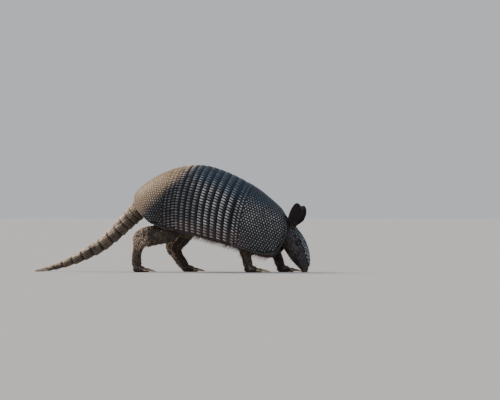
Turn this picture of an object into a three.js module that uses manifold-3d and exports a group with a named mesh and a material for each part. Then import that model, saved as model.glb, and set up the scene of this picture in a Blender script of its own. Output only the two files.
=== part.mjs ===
import * as THREE from 'three';
import { mergeVertices } from 'three/addons/utils/BufferGeometryUtils.js';
import Module from 'manifold-3d';

// A nine-banded armadillo, life size, walking head down with its nose on the floor.
// Millimetres. +X is ahead, +Y the animal's left, +Z up, and the floor is at Z = 0.

const wasm = await Module();
wasm.setup();

// ---- Driving dimensions ----

const GAP = 0.3; // left between pieces that touch
const SEAM = 0.4; // between neighbouring plates and tail rings
const STATION_PITCH = 36; // mean distance between shell stations, along the back

const SHELL_THICKNESS = 3;
const SHELL_EDGE = THREE.MathUtils.degToRad( 115 ); // where the shell ends, from the ridge of the back
const SHELL_SIDES = 20;
const SHELL_BLEND = 2.25; // 2 is an ellipse, more is squarer
const FLESH_INSET = SHELL_THICKNESS + 0.9;
const BAND_COUNT = 9;
const BAND_FRONT_LIFT = - 0.8; // a band's front edge dips under the band ahead
const BAND_REAR_LIFT = 0.5;
const SCAPULAR_END = 4; // station where the front shield ends
const PELVIC_START = 7;

// The shell from its front margin to its rear rim: the ridge of the back and the lower edge of the
// side as [x, z], half the width, how far the side margin bows forward and how deep the belly hangs.
const SHELL_STATIONS = [
	{ top: [ 222.5, 107.2 ], low: [ 213, 41 ], half: 38, bow: 12, belly: 8 },
	{ top: [ 213.4, 122.4 ], low: [ 204, 34.5 ], half: 47, bow: 6, belly: 8 },
	{ top: [ 196, 138.3 ], low: [ 184, 34 ], half: 56, bow: 2, belly: 8 },
	{ top: [ 173, 157 ], low: [ 155, 41.5 ], half: 62.3, bow: - 3, belly: 6 },
	{ top: [ 148.7, 171.6 ], low: [ 123.4, 52.4 ], half: 66.8, bow: - 5, belly: 6 },
	{ top: [ 111.3, 189.6 ], low: [ 87, 61.9 ], half: 70.6, bow: - 6.5, belly: 5 },
	{ top: [ 74.4, 201.3 ], low: [ 51.5, 71.8 ], half: 73.3, bow: - 6.5, belly: 5 },
	{ top: [ 39.3, 202.7 ], low: [ 21.7, 78.7 ], half: 74.5, bow: - 6.5, belly: 7 },
	{ top: [ 5, 194.7 ], low: [ 2, 81 ], half: 73.8, bow: - 5, belly: 10 },
	{ top: [ - 26, 181.1 ], low: [ - 11, 86.2 ], half: 70.5, bow: - 3.5, belly: 10 },
	{ top: [ - 49.5, 165 ], low: [ - 20.5, 89.7 ], half: 65, bow: - 2, belly: 8 },
	{ top: [ - 64.5, 148.7 ], low: [ - 27.5, 91.8 ], half: 58, bow: - 0.5, belly: 5 },
	{ top: [ - 66.5, 129 ], low: [ - 32, 94 ], half: 51, bow: 0.3, belly: 2 },
];
const SHELL_END = SHELL_STATIONS.length - 1;

const TRUNK_START = 2;
const TRUNK_RINGS = 13;
const TRUNK_BACK_SIDES = 18;
const TRUNK_BELLY_SIDES = 6;
const RUMP_DEPTH = 3; // the rounded end under the tail

// Neck and head: the upper profile and the throat and jaw as [x, z], and half the width.
const HEAD_STATIONS = [
	{ top: [ 194.2, 128 ], low: [ 191.4, 28 ], half: 46 },
	{ top: [ 208, 111.5 ], low: [ 203, 32 ], half: 37 },
	{ top: [ 220.5, 102.8 ], low: [ 210, 41 ], half: 29.5 },
	{ top: [ 230.5, 103.4 ], low: [ 213.5, 47 ], half: 24.5 },
	{ top: [ 242, 85 ], low: [ 215.5, 49 ], half: 22.5 },
	{ top: [ 252.2, 72.2 ], low: [ 219, 44.5 ], half: 21.5 },
	{ top: [ 260, 59 ], low: [ 224.5, 36 ], half: 20.8 },
	{ top: [ 265, 45.2 ], low: [ 230.5, 27 ], half: 18 },
	{ top: [ 267.8, 32.3 ], low: [ 238, 18 ], half: 13.2 },
	{ top: [ 268.4, 20 ], low: [ 247, 8.5 ], half: 9.8 },
	{ top: [ 266.5, 8 ], low: [ 252.5, 2.5 ], half: 7.8 },
	{ top: [ 263.2, - 3 ], low: [ 254.5, - 4.5 ], half: 6.8 },
];
const NECK_END = 3;
const NOSE_END = HEAD_STATIONS.length - 1;
const SHIELD = { start: 4.05, end: 9.2, edge: THREE.MathUtils.degToRad( 50 ), thickness: 1.5 };

const EYE = { station: 5.8, angle: THREE.MathUtils.degToRad( 64 ), radius: 3.4, sunk: 1.9 };

// An ear is a cupped leaf that is rolled to a stalk at its root.
const EAR = { thickness: 2.2, stalk: 9, leaf: 17, tip: 4.5, widest: 0.42, rootRoll: 1.5, tipRoll: 0.55 };
const EARS = {
	ear_right: { root: [ 234, - 11.5, 88 ], axis: [ 12.6, - 13, 38 ], open: [ 0.75, - 0.75, - 0.2 ], length: 48.4 },
	ear_left: { root: [ 233.5, 11.5, 88 ], axis: [ 18.5, 13, 36.5 ], open: [ 0.5, 0.87, - 0.3 ], length: 43.6 },
};

// The legs, from inside the body to the foot: the centre, then the reach ahead of or below it,
// the reach behind or above it, and half the width.
const LEGS = {
	leg_fore_right: [
		{ at: [ 150, - 33, 62 ], size: [ 15, 15, 13 ] },
		{ at: [ 151, - 36, 42 ], size: [ 12, 12.5, 11.5 ] },
		{ at: [ 153, - 36, 27 ], size: [ 9, 9, 9 ] },
		{ at: [ 156, - 36, 15 ], size: [ 8.5, 9, 9.5 ] },
		{ at: [ 160, - 36, 6 ], size: [ 6, 5, 7 ] },
	],
	leg_fore_left: [
		{ at: [ 186, 28, 62 ], size: [ 12, 12, 11 ] },
		{ at: [ 195, 32, 46 ], size: [ 11, 12, 11 ] },
		{ at: [ 202.5, 34, 30 ], size: [ 9, 9.5, 9 ] },
		{ at: [ 207, 34.5, 16 ], size: [ 8.5, 9, 9.5 ] },
		{ at: [ 212, 35, 6 ], size: [ 6, 5, 7 ] },
	],
	leg_hind_right: [
		{ at: [ 22, - 37, 86 ], size: [ 15, 17, 15 ] },
		{ at: [ 4, - 42, 73 ], size: [ 17, 16, 16 ] },
		{ at: [ - 14, - 43.5, 68.5 ], size: [ 16, 16, 16 ] },
		{ at: [ - 31, - 44.5, 66.5 ], size: [ 17.5, 21, 14 ] },
		{ at: [ - 46.5, - 45, 61.5 ], size: [ 18, 17.8, 11.5 ] },
		{ at: [ - 53, - 45, 46 ], size: [ 10, 9.5, 9 ] },
		{ at: [ - 56, - 45, 30 ], size: [ 8.8, 8.8, 8.7 ] },
		{ at: [ - 55.6, - 45, 15 ], size: [ 9.2, 8.8, 9.7 ] },
		{ at: [ - 53, - 45, 6 ], size: [ 6, 5, 7 ] },
	],
	leg_hind_left: [
		{ at: [ 32, 36, 96 ], size: [ 19, 19, 15 ] },
		{ at: [ 25, 41, 77 ], size: [ 18, 17, 14 ] },
		{ at: [ 14, 43.5, 61 ], size: [ 15, 14, 12 ] },
		{ at: [ 2.5, 45, 47.5 ], size: [ 15, 16.5, 10.5 ] },
		{ at: [ 8.5, 45, 31 ], size: [ 10.5, 10.5, 9 ] },
		{ at: [ 16, 45, 19.5 ], size: [ 10, 10, 9.5 ] },
		{ at: [ 22, 45, 12 ], size: [ 8.5, 8.5, 10 ] },
		{ at: [ 27, 45, 6 ], size: [ 5, 4, 7 ] },
	],
};

// A foot: the centre and half sizes of its pad, then its toes by how far out to the animal's
// outside each begins, how far ahead its tip lies, its radius and the length of its claw.
const FEET = {
	foot_fore_right: { pad: [ 161, - 36, 5.6 ], half: [ 13, 11.5, 7.4 ], side: - 1, toes: 'fore' },
	foot_fore_left: { pad: [ 213.5, 35, 5.6 ], half: [ 13, 11.5, 7.4 ], side: 1, toes: 'fore' },
	foot_hind_right: { pad: [ - 51.5, - 45, 5.6 ], half: [ 12, 13, 7.4 ], side: - 1, toes: 'hind' },
	foot_hind_left: { pad: [ 29, 45, 5.6 ], half: [ 12.5, 13, 7.4 ], side: 1, toes: 'hind' },
};
const TOES = {
	fore: [
		{ out: - 8.4, reach: 12.5, radius: 3.2, claw: 10 },
		{ out: - 3, reach: 18, radius: 3.7, claw: 16.5 },
		{ out: 3.2, reach: 17.5, radius: 3.7, claw: 16 },
		{ out: 9, reach: 10, radius: 3.1, claw: 9 },
	],
	hind: [
		{ out: - 10.2, reach: 9.5, radius: 3.1, claw: 8 },
		{ out: - 5.4, reach: 14.5, radius: 3.5, claw: 11.5 },
		{ out: 0, reach: 16.5, radius: 3.8, claw: 13 },
		{ out: 5.5, reach: 14, radius: 3.5, claw: 11 },
		{ out: 10.4, reach: 8.5, radius: 3, claw: 7.5 },
	],
};
const TOE_HEIGHT = 4.2;
const TOE_SPREAD = 1.16; // a toe's tip lies this much further out than its root
const CLAW = { rise: 0.55, flat: 0.62, drop: 0.22, tip: 0.16 };

// The tail: the centre line, and the radius at each of its points.
const TAIL_STATIONS = [
	{ at: [ - 57.6, 0, 119.7 ], radius: 17.5 },
	{ at: [ - 84, 2, 94 ], radius: 15 },
	{ at: [ - 105, 5.5, 73.6 ], radius: 13.3 },
	{ at: [ - 133, 10.5, 51 ], radius: 12 },
	{ at: [ - 163, 16.5, 34.6 ], radius: 10.6 },
	{ at: [ - 192, 22.5, 20.8 ], radius: 7.9 },
	{ at: [ - 222, 28, 10.3 ], radius: 5.4 },
	{ at: [ - 250, 31, 3.5 ], radius: 3 },
	{ at: [ - 265.6, 31.5, 1 ], radius: 1.2 },
];
const TAIL_RING_LENGTHS = [ 12, 12, 15, 17.5, 20.5, 22.5, 22, 21.5, 23, 22.5, 18, 14 ];
const TAIL_FLARE = 1.06; // a ring's rear edge stands over the next ring
const TAIL_WAIST = 0.97;

// ---- Materials ----

const matter = ( color, roughness ) => new THREE.MeshStandardMaterial( { color, roughness, metalness: 0 } );

const horn = matter( 0x5d5a58, 0.55 );
const bandHorn = matter( 0x6a6663, 0.55 );
const skin = matter( 0x4a423e, 0.8 );
const earSkin = matter( 0x2b2422, 0.8 );
const tailHorn = matter( 0x8b7d6c, 0.6 );
const clawHorn = matter( 0xb9a78c, 0.4 );
const eyeGlass = matter( 0x0d0a09, 0.08 );

// ---- Solids ----

const armadillo = new THREE.Group();

function add( name, material, solid ) {

	const geometry = solid instanceof THREE.BufferGeometry ? solid : toGeometry( solid );
	geometry.computeVertexNormals();
	const mesh = new THREE.Mesh( geometry, material );
	mesh.name = name;
	armadillo.add( mesh );

}

// Moves every vertex of a primitive to its place on the body and turns the faces outward.
function shaped( primitive, place ) {

	primitive.deleteAttribute( 'normal' );
	primitive.deleteAttribute( 'uv' );
	const geometry = mergeVertices( primitive );
	const position = geometry.attributes.position;
	const vertex = new THREE.Vector3();
	for ( let i = 0; i < position.count; i ++ ) {

		vertex.fromBufferAttribute( position, i );
		position.setXYZ( i, ...place( vertex ).toArray() );

	}

	if ( volume( geometry ) < 0 ) geometry.index.array.reverse();
	return geometry;

}

function volume( geometry ) {

	const { position } = geometry.attributes;
	const index = geometry.index.array;
	const [ a, b, c ] = [ new THREE.Vector3(), new THREE.Vector3(), new THREE.Vector3() ];
	let total = 0;
	for ( let i = 0; i < index.length; i += 3 ) {

		a.fromBufferAttribute( position, index[ i ] );
		b.fromBufferAttribute( position, index[ i + 1 ] );
		c.fromBufferAttribute( position, index[ i + 2 ] );
		total += a.dot( b.cross( c ) ) / 6;

	}

	return total;

}

function toSolid( geometry ) {

	return new wasm.Manifold( new wasm.Mesh( {
		numProp: 3,
		vertProperties: new Float32Array( geometry.attributes.position.array ),
		triVerts: new Uint32Array( geometry.index.array ),
	} ) );

}

function toGeometry( solid ) {

	const mesh = solid.getMesh();
	const geometry = new THREE.BufferGeometry();
	geometry.setAttribute( 'position', new THREE.BufferAttribute( mesh.vertProperties, 3 ) );
	geometry.setIndex( new THREE.BufferAttribute( mesh.triVerts, 1 ) );
	return geometry;

}

const cut = ( solid, ...cutters ) => cutters.reduce( ( rest, cutter ) => rest.subtract( cutter ), solid );

const floor = toSolid( shaped( new THREE.BoxGeometry( 900, 400, 60 ), ( p ) => p.setZ( p.z - 30 ) ) );

// ---- Curved surfaces ----

const power = ( value, exponent ) => Math.sign( value ) * Math.abs( value ) ** exponent;

// The surface through a row of stations. A section runs from the ridge at angle 0 round the side
// to the low line, which it meets at the angle named edge.
class Surface {

	constructor( stations, edge, blend ) {

		this.last = stations.length - 1;
		this.exponent = 2 / blend;
		this.edgeDepth = 1 - power( Math.cos( edge ), this.exponent );
		this.top = new THREE.SplineCurve( stations.map( ( s ) => new THREE.Vector2( ...s.top ) ) );
		this.low = new THREE.SplineCurve( stations.map( ( s ) => new THREE.Vector2( ...s.low ) ) );
		this.width = new THREE.SplineCurve( stations.map( ( s ) => new THREE.Vector2( s.half, s.bow ?? 0 ) ) );

	}

	point( station, angle ) {

		const t = THREE.MathUtils.clamp( station / this.last, 0, 1 );
		const [ top, low, width ] = [ this.top.getPoint( t ), this.low.getPoint( t ), this.width.getPoint( t ) ];
		const depth = ( 1 - power( Math.cos( angle ), this.exponent ) ) / this.edgeDepth;
		const middle = top.lerp( low, depth );
		const bow = width.y * Math.sin( Math.PI * Math.min( depth, 1 ) );
		return new THREE.Vector3( middle.x + bow, width.x * power( Math.sin( angle ), this.exponent ), middle.y );

	}

	centre( station ) {

		const t = THREE.MathUtils.clamp( station / this.last, 0, 1 );
		const middle = this.top.getPoint( t ).lerp( this.low.getPoint( t ), 0.5 );
		return new THREE.Vector3( middle.x, 0, middle.y );

	}

	// A point that lies this far inside the surface, or outside it where the inset is negative.
	inset( station, angle, inset ) {

		const step = 0.02;
		const point = this.point( station, angle );
		const along = this.point( station + step, angle ).sub( this.point( station - step, angle ) );
		const round = this.point( station, angle + step ).sub( this.point( station, angle - step ) );
		const normal = along.cross( round ).normalize();
		if ( normal.dot( point.clone().sub( this.centre( station ) ) ) < 0 ) normal.negate();
		return point.addScaledVector( normal, - inset );

	}

}

const shell = new Surface( SHELL_STATIONS, SHELL_EDGE, SHELL_BLEND );
const head = new Surface( HEAD_STATIONS, Math.PI, 2.15 );

// A curved plate between two stations of a surface, symmetric about the ridge.
function plate( surface, { from, to, edge, rows, columns, inner, outer } ) {

	return shaped( new THREE.BoxGeometry( 1, 1, 1, rows, columns, 1 ), ( p ) => {

		const along = p.x + 0.5;
		const station = THREE.MathUtils.lerp( from, to, along );
		const angle = p.y * 2 * ( typeof edge === 'function' ? edge( along ) : edge );
		return surface.inset( station, angle, p.z < 0 ? inner : outer( along ) );

	} );

}

// ---- Shell: front shield, nine bands and rear shield ----

const halfSeam = SEAM / 2 / STATION_PITCH;

function shellPlate( from, to, rows, frontLift = 0, rearLift = 0 ) {

	return plate( shell, {
		from, to, rows, edge: SHELL_EDGE, columns: SHELL_SIDES, inner: SHELL_THICKNESS,
		outer: ( along ) => - THREE.MathUtils.lerp( frontLift, rearLift, along ),
	} );

}

add( 'scapular_shield', horn, shellPlate( 0, SCAPULAR_END - halfSeam, 7 ) );
const bandPitch = ( PELVIC_START - SCAPULAR_END ) / BAND_COUNT;
for ( let i = 0; i < BAND_COUNT; i ++ ) {

	const from = SCAPULAR_END + i * bandPitch + halfSeam;
	const to = from + bandPitch - 2 * halfSeam;
	add( `band_${ i + 1 }`, bandHorn, shellPlate( from, to, 1, BAND_FRONT_LIFT, BAND_REAR_LIFT ) );

}

add( 'pelvic_shield', horn, shellPlate( PELVIC_START + halfSeam, SHELL_END, 7 ) );

const shellRoom = toSolid( plate( shell, {
	from: 0, to: SHELL_END, rows: 12, edge: SHELL_EDGE * 1.01, columns: SHELL_SIDES,
	inner: FLESH_INSET, outer: () => - 2,
} ) );

// ---- Trunk ----

// Angle 0 is the ridge. The first part of each side follows the inside of the shell, the rest is belly.
function trunkPoint( station, turn, grow ) {

	const inner = FLESH_INSET - grow;
	const backShare = TRUNK_BACK_SIDES / ( TRUNK_BACK_SIDES + TRUNK_BELLY_SIDES );
	const half = Math.abs( turn );
	if ( half <= backShare ) return shell.inset( station, SHELL_EDGE * turn / backShare, inner );
	const rim = shell.inset( station, SHELL_EDGE * Math.sign( turn ), inner );
	const under = ( half - backShare ) / ( 1 - backShare ) * Math.PI / 2;
	const belly = blendStations( station, 'belly' ) + grow;
	return new THREE.Vector3( rim.x, rim.y * Math.cos( under ), rim.z - belly * Math.sin( under ) );

}

function blendStations( station, key ) {

	const index = Math.min( Math.floor( station ), SHELL_END - 1 );
	return THREE.MathUtils.lerp( SHELL_STATIONS[ index ][ key ], SHELL_STATIONS[ index + 1 ][ key ], station - index );

}

function trunkSolid( grow ) {

	const domeRings = 3;
	const rings = TRUNK_RINGS + domeRings;
	const sides = TRUNK_BACK_SIDES + TRUNK_BELLY_SIDES;
	const [ top, low ] = [ shell.point( SHELL_END, 0 ), shell.point( SHELL_END, SHELL_EDGE ).setY( 0 ) ];
	const backward = low.clone().sub( top ).cross( new THREE.Vector3( 0, 1, 0 ) ).normalize();
	if ( backward.x > 0 ) backward.negate();
	const tube = new THREE.CylinderGeometry( 1, 1, 1, sides, rings );
	return shaped( tube, ( p ) => {

		const ring = Math.round( ( p.y + 0.5 ) * rings );
		const turn = Math.atan2( p.x, p.z ) / Math.PI;
		const reach = Math.hypot( p.x, p.z );
		const t = THREE.MathUtils.lerp( TRUNK_START, SHELL_END, Math.min( ring / TRUNK_RINGS, 1 ) );
		const dome = Math.max( ring - TRUNK_RINGS, 0 ) / domeRings * Math.PI * 0.42;
		const middle = shell.centre( t ).setZ( shell.centre( t ).z - 4 );
		const point = middle.clone().lerp( trunkPoint( t, turn, grow ), reach * Math.cos( dome ) );
		point.addScaledVector( backward, ( RUMP_DEPTH + grow ) * Math.sin( dome ) );
		if ( ring === 0 ) point.x += grow;
		return point;

	} );

}

const trunkRoom = toSolid( trunkSolid( GAP ) );

// ---- Head, neck and shield ----

function headSolid( from, to, rings, sides, grow = 0 ) {

	return toSolid( shaped( new THREE.CylinderGeometry( 1, 1, 1, sides, rings ), ( p ) => {

		const station = THREE.MathUtils.lerp( from, to, p.y + 0.5 );
		const reach = Math.hypot( p.x, p.z );
		const point = reach < 0.5 ? head.centre( station ) : head.inset( station, Math.atan2( p.x, p.z ), - grow );
		if ( station === 0 ) point.x -= 1.5 * grow;
		return point;

	} ) );

}

function shieldSolid( grow ) {

	return plate( head, {
		from: SHIELD.start - grow / 15, to: SHIELD.end + grow / 10, rows: 7, columns: 6,
		edge: ( along ) => SHIELD.edge * ( 1 - 0.45 * along * along ) * ( 1 + grow / 20 ),
		inner: SHIELD.thickness + grow, outer: () => ( grow > 0 ? - 1.5 : 0 ),
	} );

}

const eyeAt = ( side ) => head.inset( EYE.station, side * EYE.angle, EYE.sunk );
const eyeSolid = ( side, grow ) => toSolid( shaped(
	new THREE.SphereGeometry( EYE.radius + grow, 9, 6 ), ( p ) => p.add( eyeAt( side ) ),
) );

const neckJoint = 0.02; // the neck stops this far short of the head, in stations
const eyeSockets = [ eyeSolid( - 1, GAP ), eyeSolid( 1, GAP ) ];
const headWhole = headSolid( NECK_END, NOSE_END, 11, 14 );
add( 'head', skin, cut( headWhole, toSolid( shieldSolid( GAP ) ), ...eyeSockets, floor ) );
add( 'neck', skin, cut( headSolid( 0, NECK_END - neckJoint, 5, 16 ), trunkRoom, shellRoom ) );
add( 'head_shield', horn, shieldSolid( 0 ) );
add( 'eye_right', eyeGlass, eyeSolid( - 1, 0 ) );
add( 'eye_left', eyeGlass, eyeSolid( 1, 0 ) );
add( 'trunk', skin, trunkSolid( 0 ) );

// ---- Ears ----

function earSolid( { root, axis, open, length } ) {

	const along = new THREE.Vector3( ...axis ).normalize();
	const facing = new THREE.Vector3( ...open ).projectOnPlane( along ).normalize();
	const across = along.clone().cross( facing );
	return toSolid( shaped( new THREE.BoxGeometry( 1, 1, 1, 6, 8, 1 ), ( p ) => {

		const rise = p.y + 0.5;
		const toLeaf = THREE.MathUtils.smoothstep( rise, 0.08, EAR.widest );
		const toTip = Math.max( rise - EAR.widest, 0 ) / ( 1 - EAR.widest );
		const leaf = THREE.MathUtils.lerp( EAR.stalk, EAR.leaf, toLeaf );
		const half = Math.max( leaf * Math.sqrt( 1 - toTip * toTip ), EAR.tip );
		const roll = THREE.MathUtils.lerp( EAR.rootRoll, EAR.tipRoll, toLeaf );
		const radius = half / roll + ( p.z < 0 ? EAR.thickness / 2 : - EAR.thickness / 2 );
		const turn = p.x * 2 * roll;
		return new THREE.Vector3( ...root )
			.addScaledVector( along, length * rise )
			.addScaledVector( across, radius * Math.sin( turn ) )
			.addScaledVector( facing, half / roll - radius * Math.cos( turn ) );

	} ) );

}

const headRoom = headSolid( NECK_END, NOSE_END, 11, 14, GAP );
for ( const [ name, ear ] of Object.entries( EARS ) ) {

	add( name, earSkin, cut( earSolid( ear ), headRoom, headSolid( 0, NECK_END + 0.05, 5, 16, GAP ), shellRoom ) );

}

// ---- Legs, feet and claws ----

function limbSolid( stations, sides, rings, grow = 0 ) {

	const axis = new THREE.CatmullRomCurve3( stations.map( ( s ) => new THREE.Vector3( ...s.at ) ), false, 'catmullrom' );
	const size = new THREE.CatmullRomCurve3( stations.map( ( s ) => new THREE.Vector3( ...s.size ) ), false, 'catmullrom' );
	return toSolid( shaped( new THREE.CylinderGeometry( 1, 1, 1, sides, rings ), ( p ) => {

		const t = p.y + 0.5;
		const angle = Math.atan2( p.x, p.z );
		const reach = Math.hypot( p.x, p.z );
		const tangent = axis.getTangent( t );
		const side = new THREE.Vector3( 0, 1, 0 ).projectOnPlane( tangent ).normalize();
		const ahead = tangent.clone().cross( side );
		const { x: front, y: back, z: half } = size.getPoint( t );
		const depth = ( Math.cos( angle ) > 0 ? front : back ) + grow;
		return axis.getPoint( t )
			.addScaledVector( ahead, reach * depth * Math.cos( angle ) )
			.addScaledVector( side, reach * ( half + grow ) * Math.sin( angle ) );

	} ) );

}

// The toes of a foot, each with the place of its root and tip.
function toeLayout( foot ) {

	const [ x, y ] = foot.pad;
	return TOES[ foot.toes ].map( ( toe ) => ( {
		...toe,
		root: new THREE.Vector3( x, y + foot.side * toe.out, TOE_HEIGHT ),
		tip: new THREE.Vector3( x + toe.reach, y + foot.side * toe.out * TOE_SPREAD, TOE_HEIGHT - 0.4 ),
	} ) );

}

function footSolid( foot, grow ) {

	const pad = new THREE.SphereGeometry( 1, 10, 5 );
	const size = new THREE.Vector3( ...foot.half ).addScalar( grow );
	const sole = toSolid( shaped( pad, ( p ) => p.multiply( size ).add( new THREE.Vector3( ...foot.pad ) ) ) );
	return toeLayout( foot ).reduce( ( whole, toe ) => whole.add( toeSolid( toe, grow ) ), sole );

}

function toeSolid( toe, grow ) {

	const span = toe.tip.clone().sub( toe.root );
	const capsule = new THREE.CapsuleGeometry( toe.radius + grow, span.length(), 1, 5, 1 );
	const turn = new THREE.Quaternion().setFromUnitVectors( new THREE.Vector3( 0, 1, 0 ), span.clone().normalize() );
	const middle = toe.root.clone().addScaledVector( span, 0.5 );
	return toSolid( shaped( capsule, ( p ) => p.applyQuaternion( turn ).add( middle ) ) );

}

function clawSolid( toe ) {

	const ahead = toe.tip.clone().sub( toe.root ).setZ( 0 ).normalize();
	const side = new THREE.Vector3( 0, 0, 1 ).cross( ahead );
	const root = toe.tip.clone().addScaledVector( ahead, toe.radius * 0.35 );
	const length = toe.claw + toe.radius * 0.65;
	return toSolid( shaped( new THREE.CylinderGeometry( 1, 1, 1, 5, 2 ), ( p ) => {

		const out = p.y + 0.5;
		const radius = toe.radius * THREE.MathUtils.lerp( 0.8, CLAW.tip, out );
		const point = root.clone().addScaledVector( ahead, length * out );
		point.addScaledVector( side, p.x * radius * CLAW.flat );
		point.z += p.z * radius + CLAW.rise * out - CLAW.drop * length * out * out;
		point.z = Math.max( point.z, 0 );
		return point;

	} ) );

}

const neckRoom = headSolid( 0, NECK_END, 5, 16, GAP );
for ( const [ name, foot ] of Object.entries( FEET ) ) {

	const legName = name.replace( 'foot', 'leg' );
	const footRoom = footSolid( foot, GAP );
	const leg = limbSolid( LEGS[ legName ], 10, LEGS[ legName ].length + 1 );
	add( legName, skin, cut( leg, trunkRoom, shellRoom, neckRoom, headRoom, footRoom, floor ) );
	add( name, skin, cut( footSolid( foot, 0 ), floor ) );
	toeLayout( foot ).forEach( ( toe, i ) => {

		add( `${ name.replace( 'foot', 'claw' ) }_${ i + 1 }`, clawHorn, cut( clawSolid( toe ), footRoom, floor ) );

	} );

}

// ---- Tail ----

const tailAxis = new THREE.CatmullRomCurve3(
	TAIL_STATIONS.map( ( s ) => new THREE.Vector3( ...s.at ) ), false, 'catmullrom',
);
const tailRadii = new THREE.SplineCurve( TAIL_STATIONS.map( ( s ) => new THREE.Vector2( s.radius, 0 ) ) );
const tailLength = tailAxis.getLength();

function tailSolid( from, to, rings, sides, waist, flare ) {

	return toSolid( shaped( new THREE.CylinderGeometry( 1, 1, 1, sides, rings ), ( p ) => {

		const out = p.y + 0.5;
		const t = tailAxis.getUtoTmapping( THREE.MathUtils.lerp( from, to, out ) / tailLength );
		const tangent = tailAxis.getTangent( t );
		const side = new THREE.Vector3( 0, 1, 0 ).projectOnPlane( tangent ).normalize();
		const radius = tailRadii.getPoint( t ).x * THREE.MathUtils.lerp( waist, flare, out );
		return tailAxis.getPoint( t )
			.addScaledVector( side, p.x * radius )
			.addScaledVector( side.cross( tangent ), p.z * radius );

	} ) );

}

let ringStart = 0;
TAIL_RING_LENGTHS.forEach( ( length, i ) => {

	const ring = tailSolid( ringStart, ringStart + length - SEAM, 1, 10, TAIL_WAIST, TAIL_FLARE );
	add( `tail_ring_${ i + 1 }`, tailHorn, cut( ring, trunkRoom, shellRoom, floor ) );
	ringStart += length;

} );
add( 'tail_tip', tailHorn, cut( tailSolid( ringStart, tailLength, 5, 8, 1, 1 ), floor ) );

export default armadillo;
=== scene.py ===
import logging
import math
from collections.abc import Callable, Iterator, Sequence
from contextlib import contextmanager
from dataclasses import dataclass, field, replace
from enum import Enum
from typing import Any

import bmesh
import bpy
import numpy as np
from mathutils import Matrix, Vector
from mathutils.bvhtree import BVHTree
from mathutils.geometry import delaunay_2d_cdt
from mathutils.kdtree import KDTree


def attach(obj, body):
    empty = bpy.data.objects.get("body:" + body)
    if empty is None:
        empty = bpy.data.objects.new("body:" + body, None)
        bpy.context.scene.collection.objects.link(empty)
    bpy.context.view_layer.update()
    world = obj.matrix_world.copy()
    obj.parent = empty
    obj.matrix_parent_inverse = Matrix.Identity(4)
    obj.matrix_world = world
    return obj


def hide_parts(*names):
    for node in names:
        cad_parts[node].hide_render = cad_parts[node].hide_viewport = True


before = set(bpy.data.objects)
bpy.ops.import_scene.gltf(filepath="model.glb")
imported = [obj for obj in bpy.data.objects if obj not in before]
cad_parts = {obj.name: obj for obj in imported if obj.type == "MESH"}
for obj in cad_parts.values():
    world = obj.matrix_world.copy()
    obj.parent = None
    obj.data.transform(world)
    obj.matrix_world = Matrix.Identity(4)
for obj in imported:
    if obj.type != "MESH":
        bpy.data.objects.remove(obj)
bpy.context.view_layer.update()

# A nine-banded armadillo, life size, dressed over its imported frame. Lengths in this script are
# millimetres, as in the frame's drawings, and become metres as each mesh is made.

MM = 0.001
BODY = "root"
MAP_NAME = "OFBake"
MAP_MARGIN = 0.02
PATCH_SHARE = 0.86  # a scale's patch on the map, against its own size
HIDDEN_CORNER, HIDDEN_SIZE = 0.002, 0.01  # the map's patch for all faces that lie on the body
SEED = 7
FLOOR_GAP = 0.04  # the lowest that a small shape's points lie
SQUARE_ANGLE = math.radians(62)  # where on the flank the rows of scales stand square to each other

Array = np.ndarray
Colour = tuple[float, float, float]
Outline = list[tuple[float, float]]

log = logging.getLogger("armadillo")


# ---- Numbers and curves ----


def unit(vectors: Array) -> Array:
    """Vectors of length one, along the last axis."""
    return vectors / np.maximum(np.linalg.norm(vectors, axis=-1, keepdims=True), 1e-12)


def smooth_step(low: float, high: float, value: Array) -> Array:
    """0 below low, 1 above high and a smooth rise between them."""
    t = np.clip((value - low) / (high - low), 0, 1)
    return t * t * (3 - 2 * t)


def signed_power(value: Array, exponent: float) -> Array:
    """A power that keeps the sign."""
    return np.sign(value) * np.abs(value) ** exponent


def bump(distance: Array, width: float) -> Array:
    """A soft bell that is 1 at no distance and nearly 0 at twice the width."""
    return np.exp(-((distance / width) ** 2))


def paired(s: Array, a: Array) -> tuple[Array, Array]:
    """Stations and angles as arrays of one shape."""
    return np.broadcast_arrays(np.asarray(s, float), np.asarray(a, float))


def sideways(tangent: Array) -> Array:
    """The direction to the animal's left, square to each tangent."""
    left = np.array([0.0, 1.0, 0.0])
    return unit(left - tangent * tangent[..., 1:2])


def above_floor(points: Array, gap: float) -> Array:
    """The same points, none lower than this gap over the floor."""
    return np.column_stack([points[:, :2], np.maximum(points[:, 2], gap)])


@dataclass(frozen=True)
class Track:
    """A smooth curve through a row of points.

    Args:
        points: one row for each point.
        extended: whether the ends run on straight, or come to rest.
    """

    points: Array
    extended: bool = False

    def at(self, t: Array) -> Array:
        """Reads the curve.

        Args:
            t: 0 at the first point and 1 at the last.

        Returns:
            The points there.
        """
        first, last = self.points[0], self.points[-1]
        if self.extended:
            first, last = 2 * first - self.points[1], 2 * last - self.points[-2]
        rows = np.vstack([first, self.points, last])
        place = np.clip(t, 0, 1) * (len(self.points) - 1)
        index = np.minimum(place.astype(int), len(self.points) - 2)
        w = (place - index)[..., None]
        p0, p1, p2, p3 = (rows[index + i] for i in range(4))
        v0, v1 = (p2 - p0) / 2, (p3 - p1) / 2
        return (2 * p1 - 2 * p2 + v0 + v1) * w**3 + (3 * p2 - 3 * p1 - 2 * v0 - v1) * w**2 + v0 * w + p1


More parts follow.
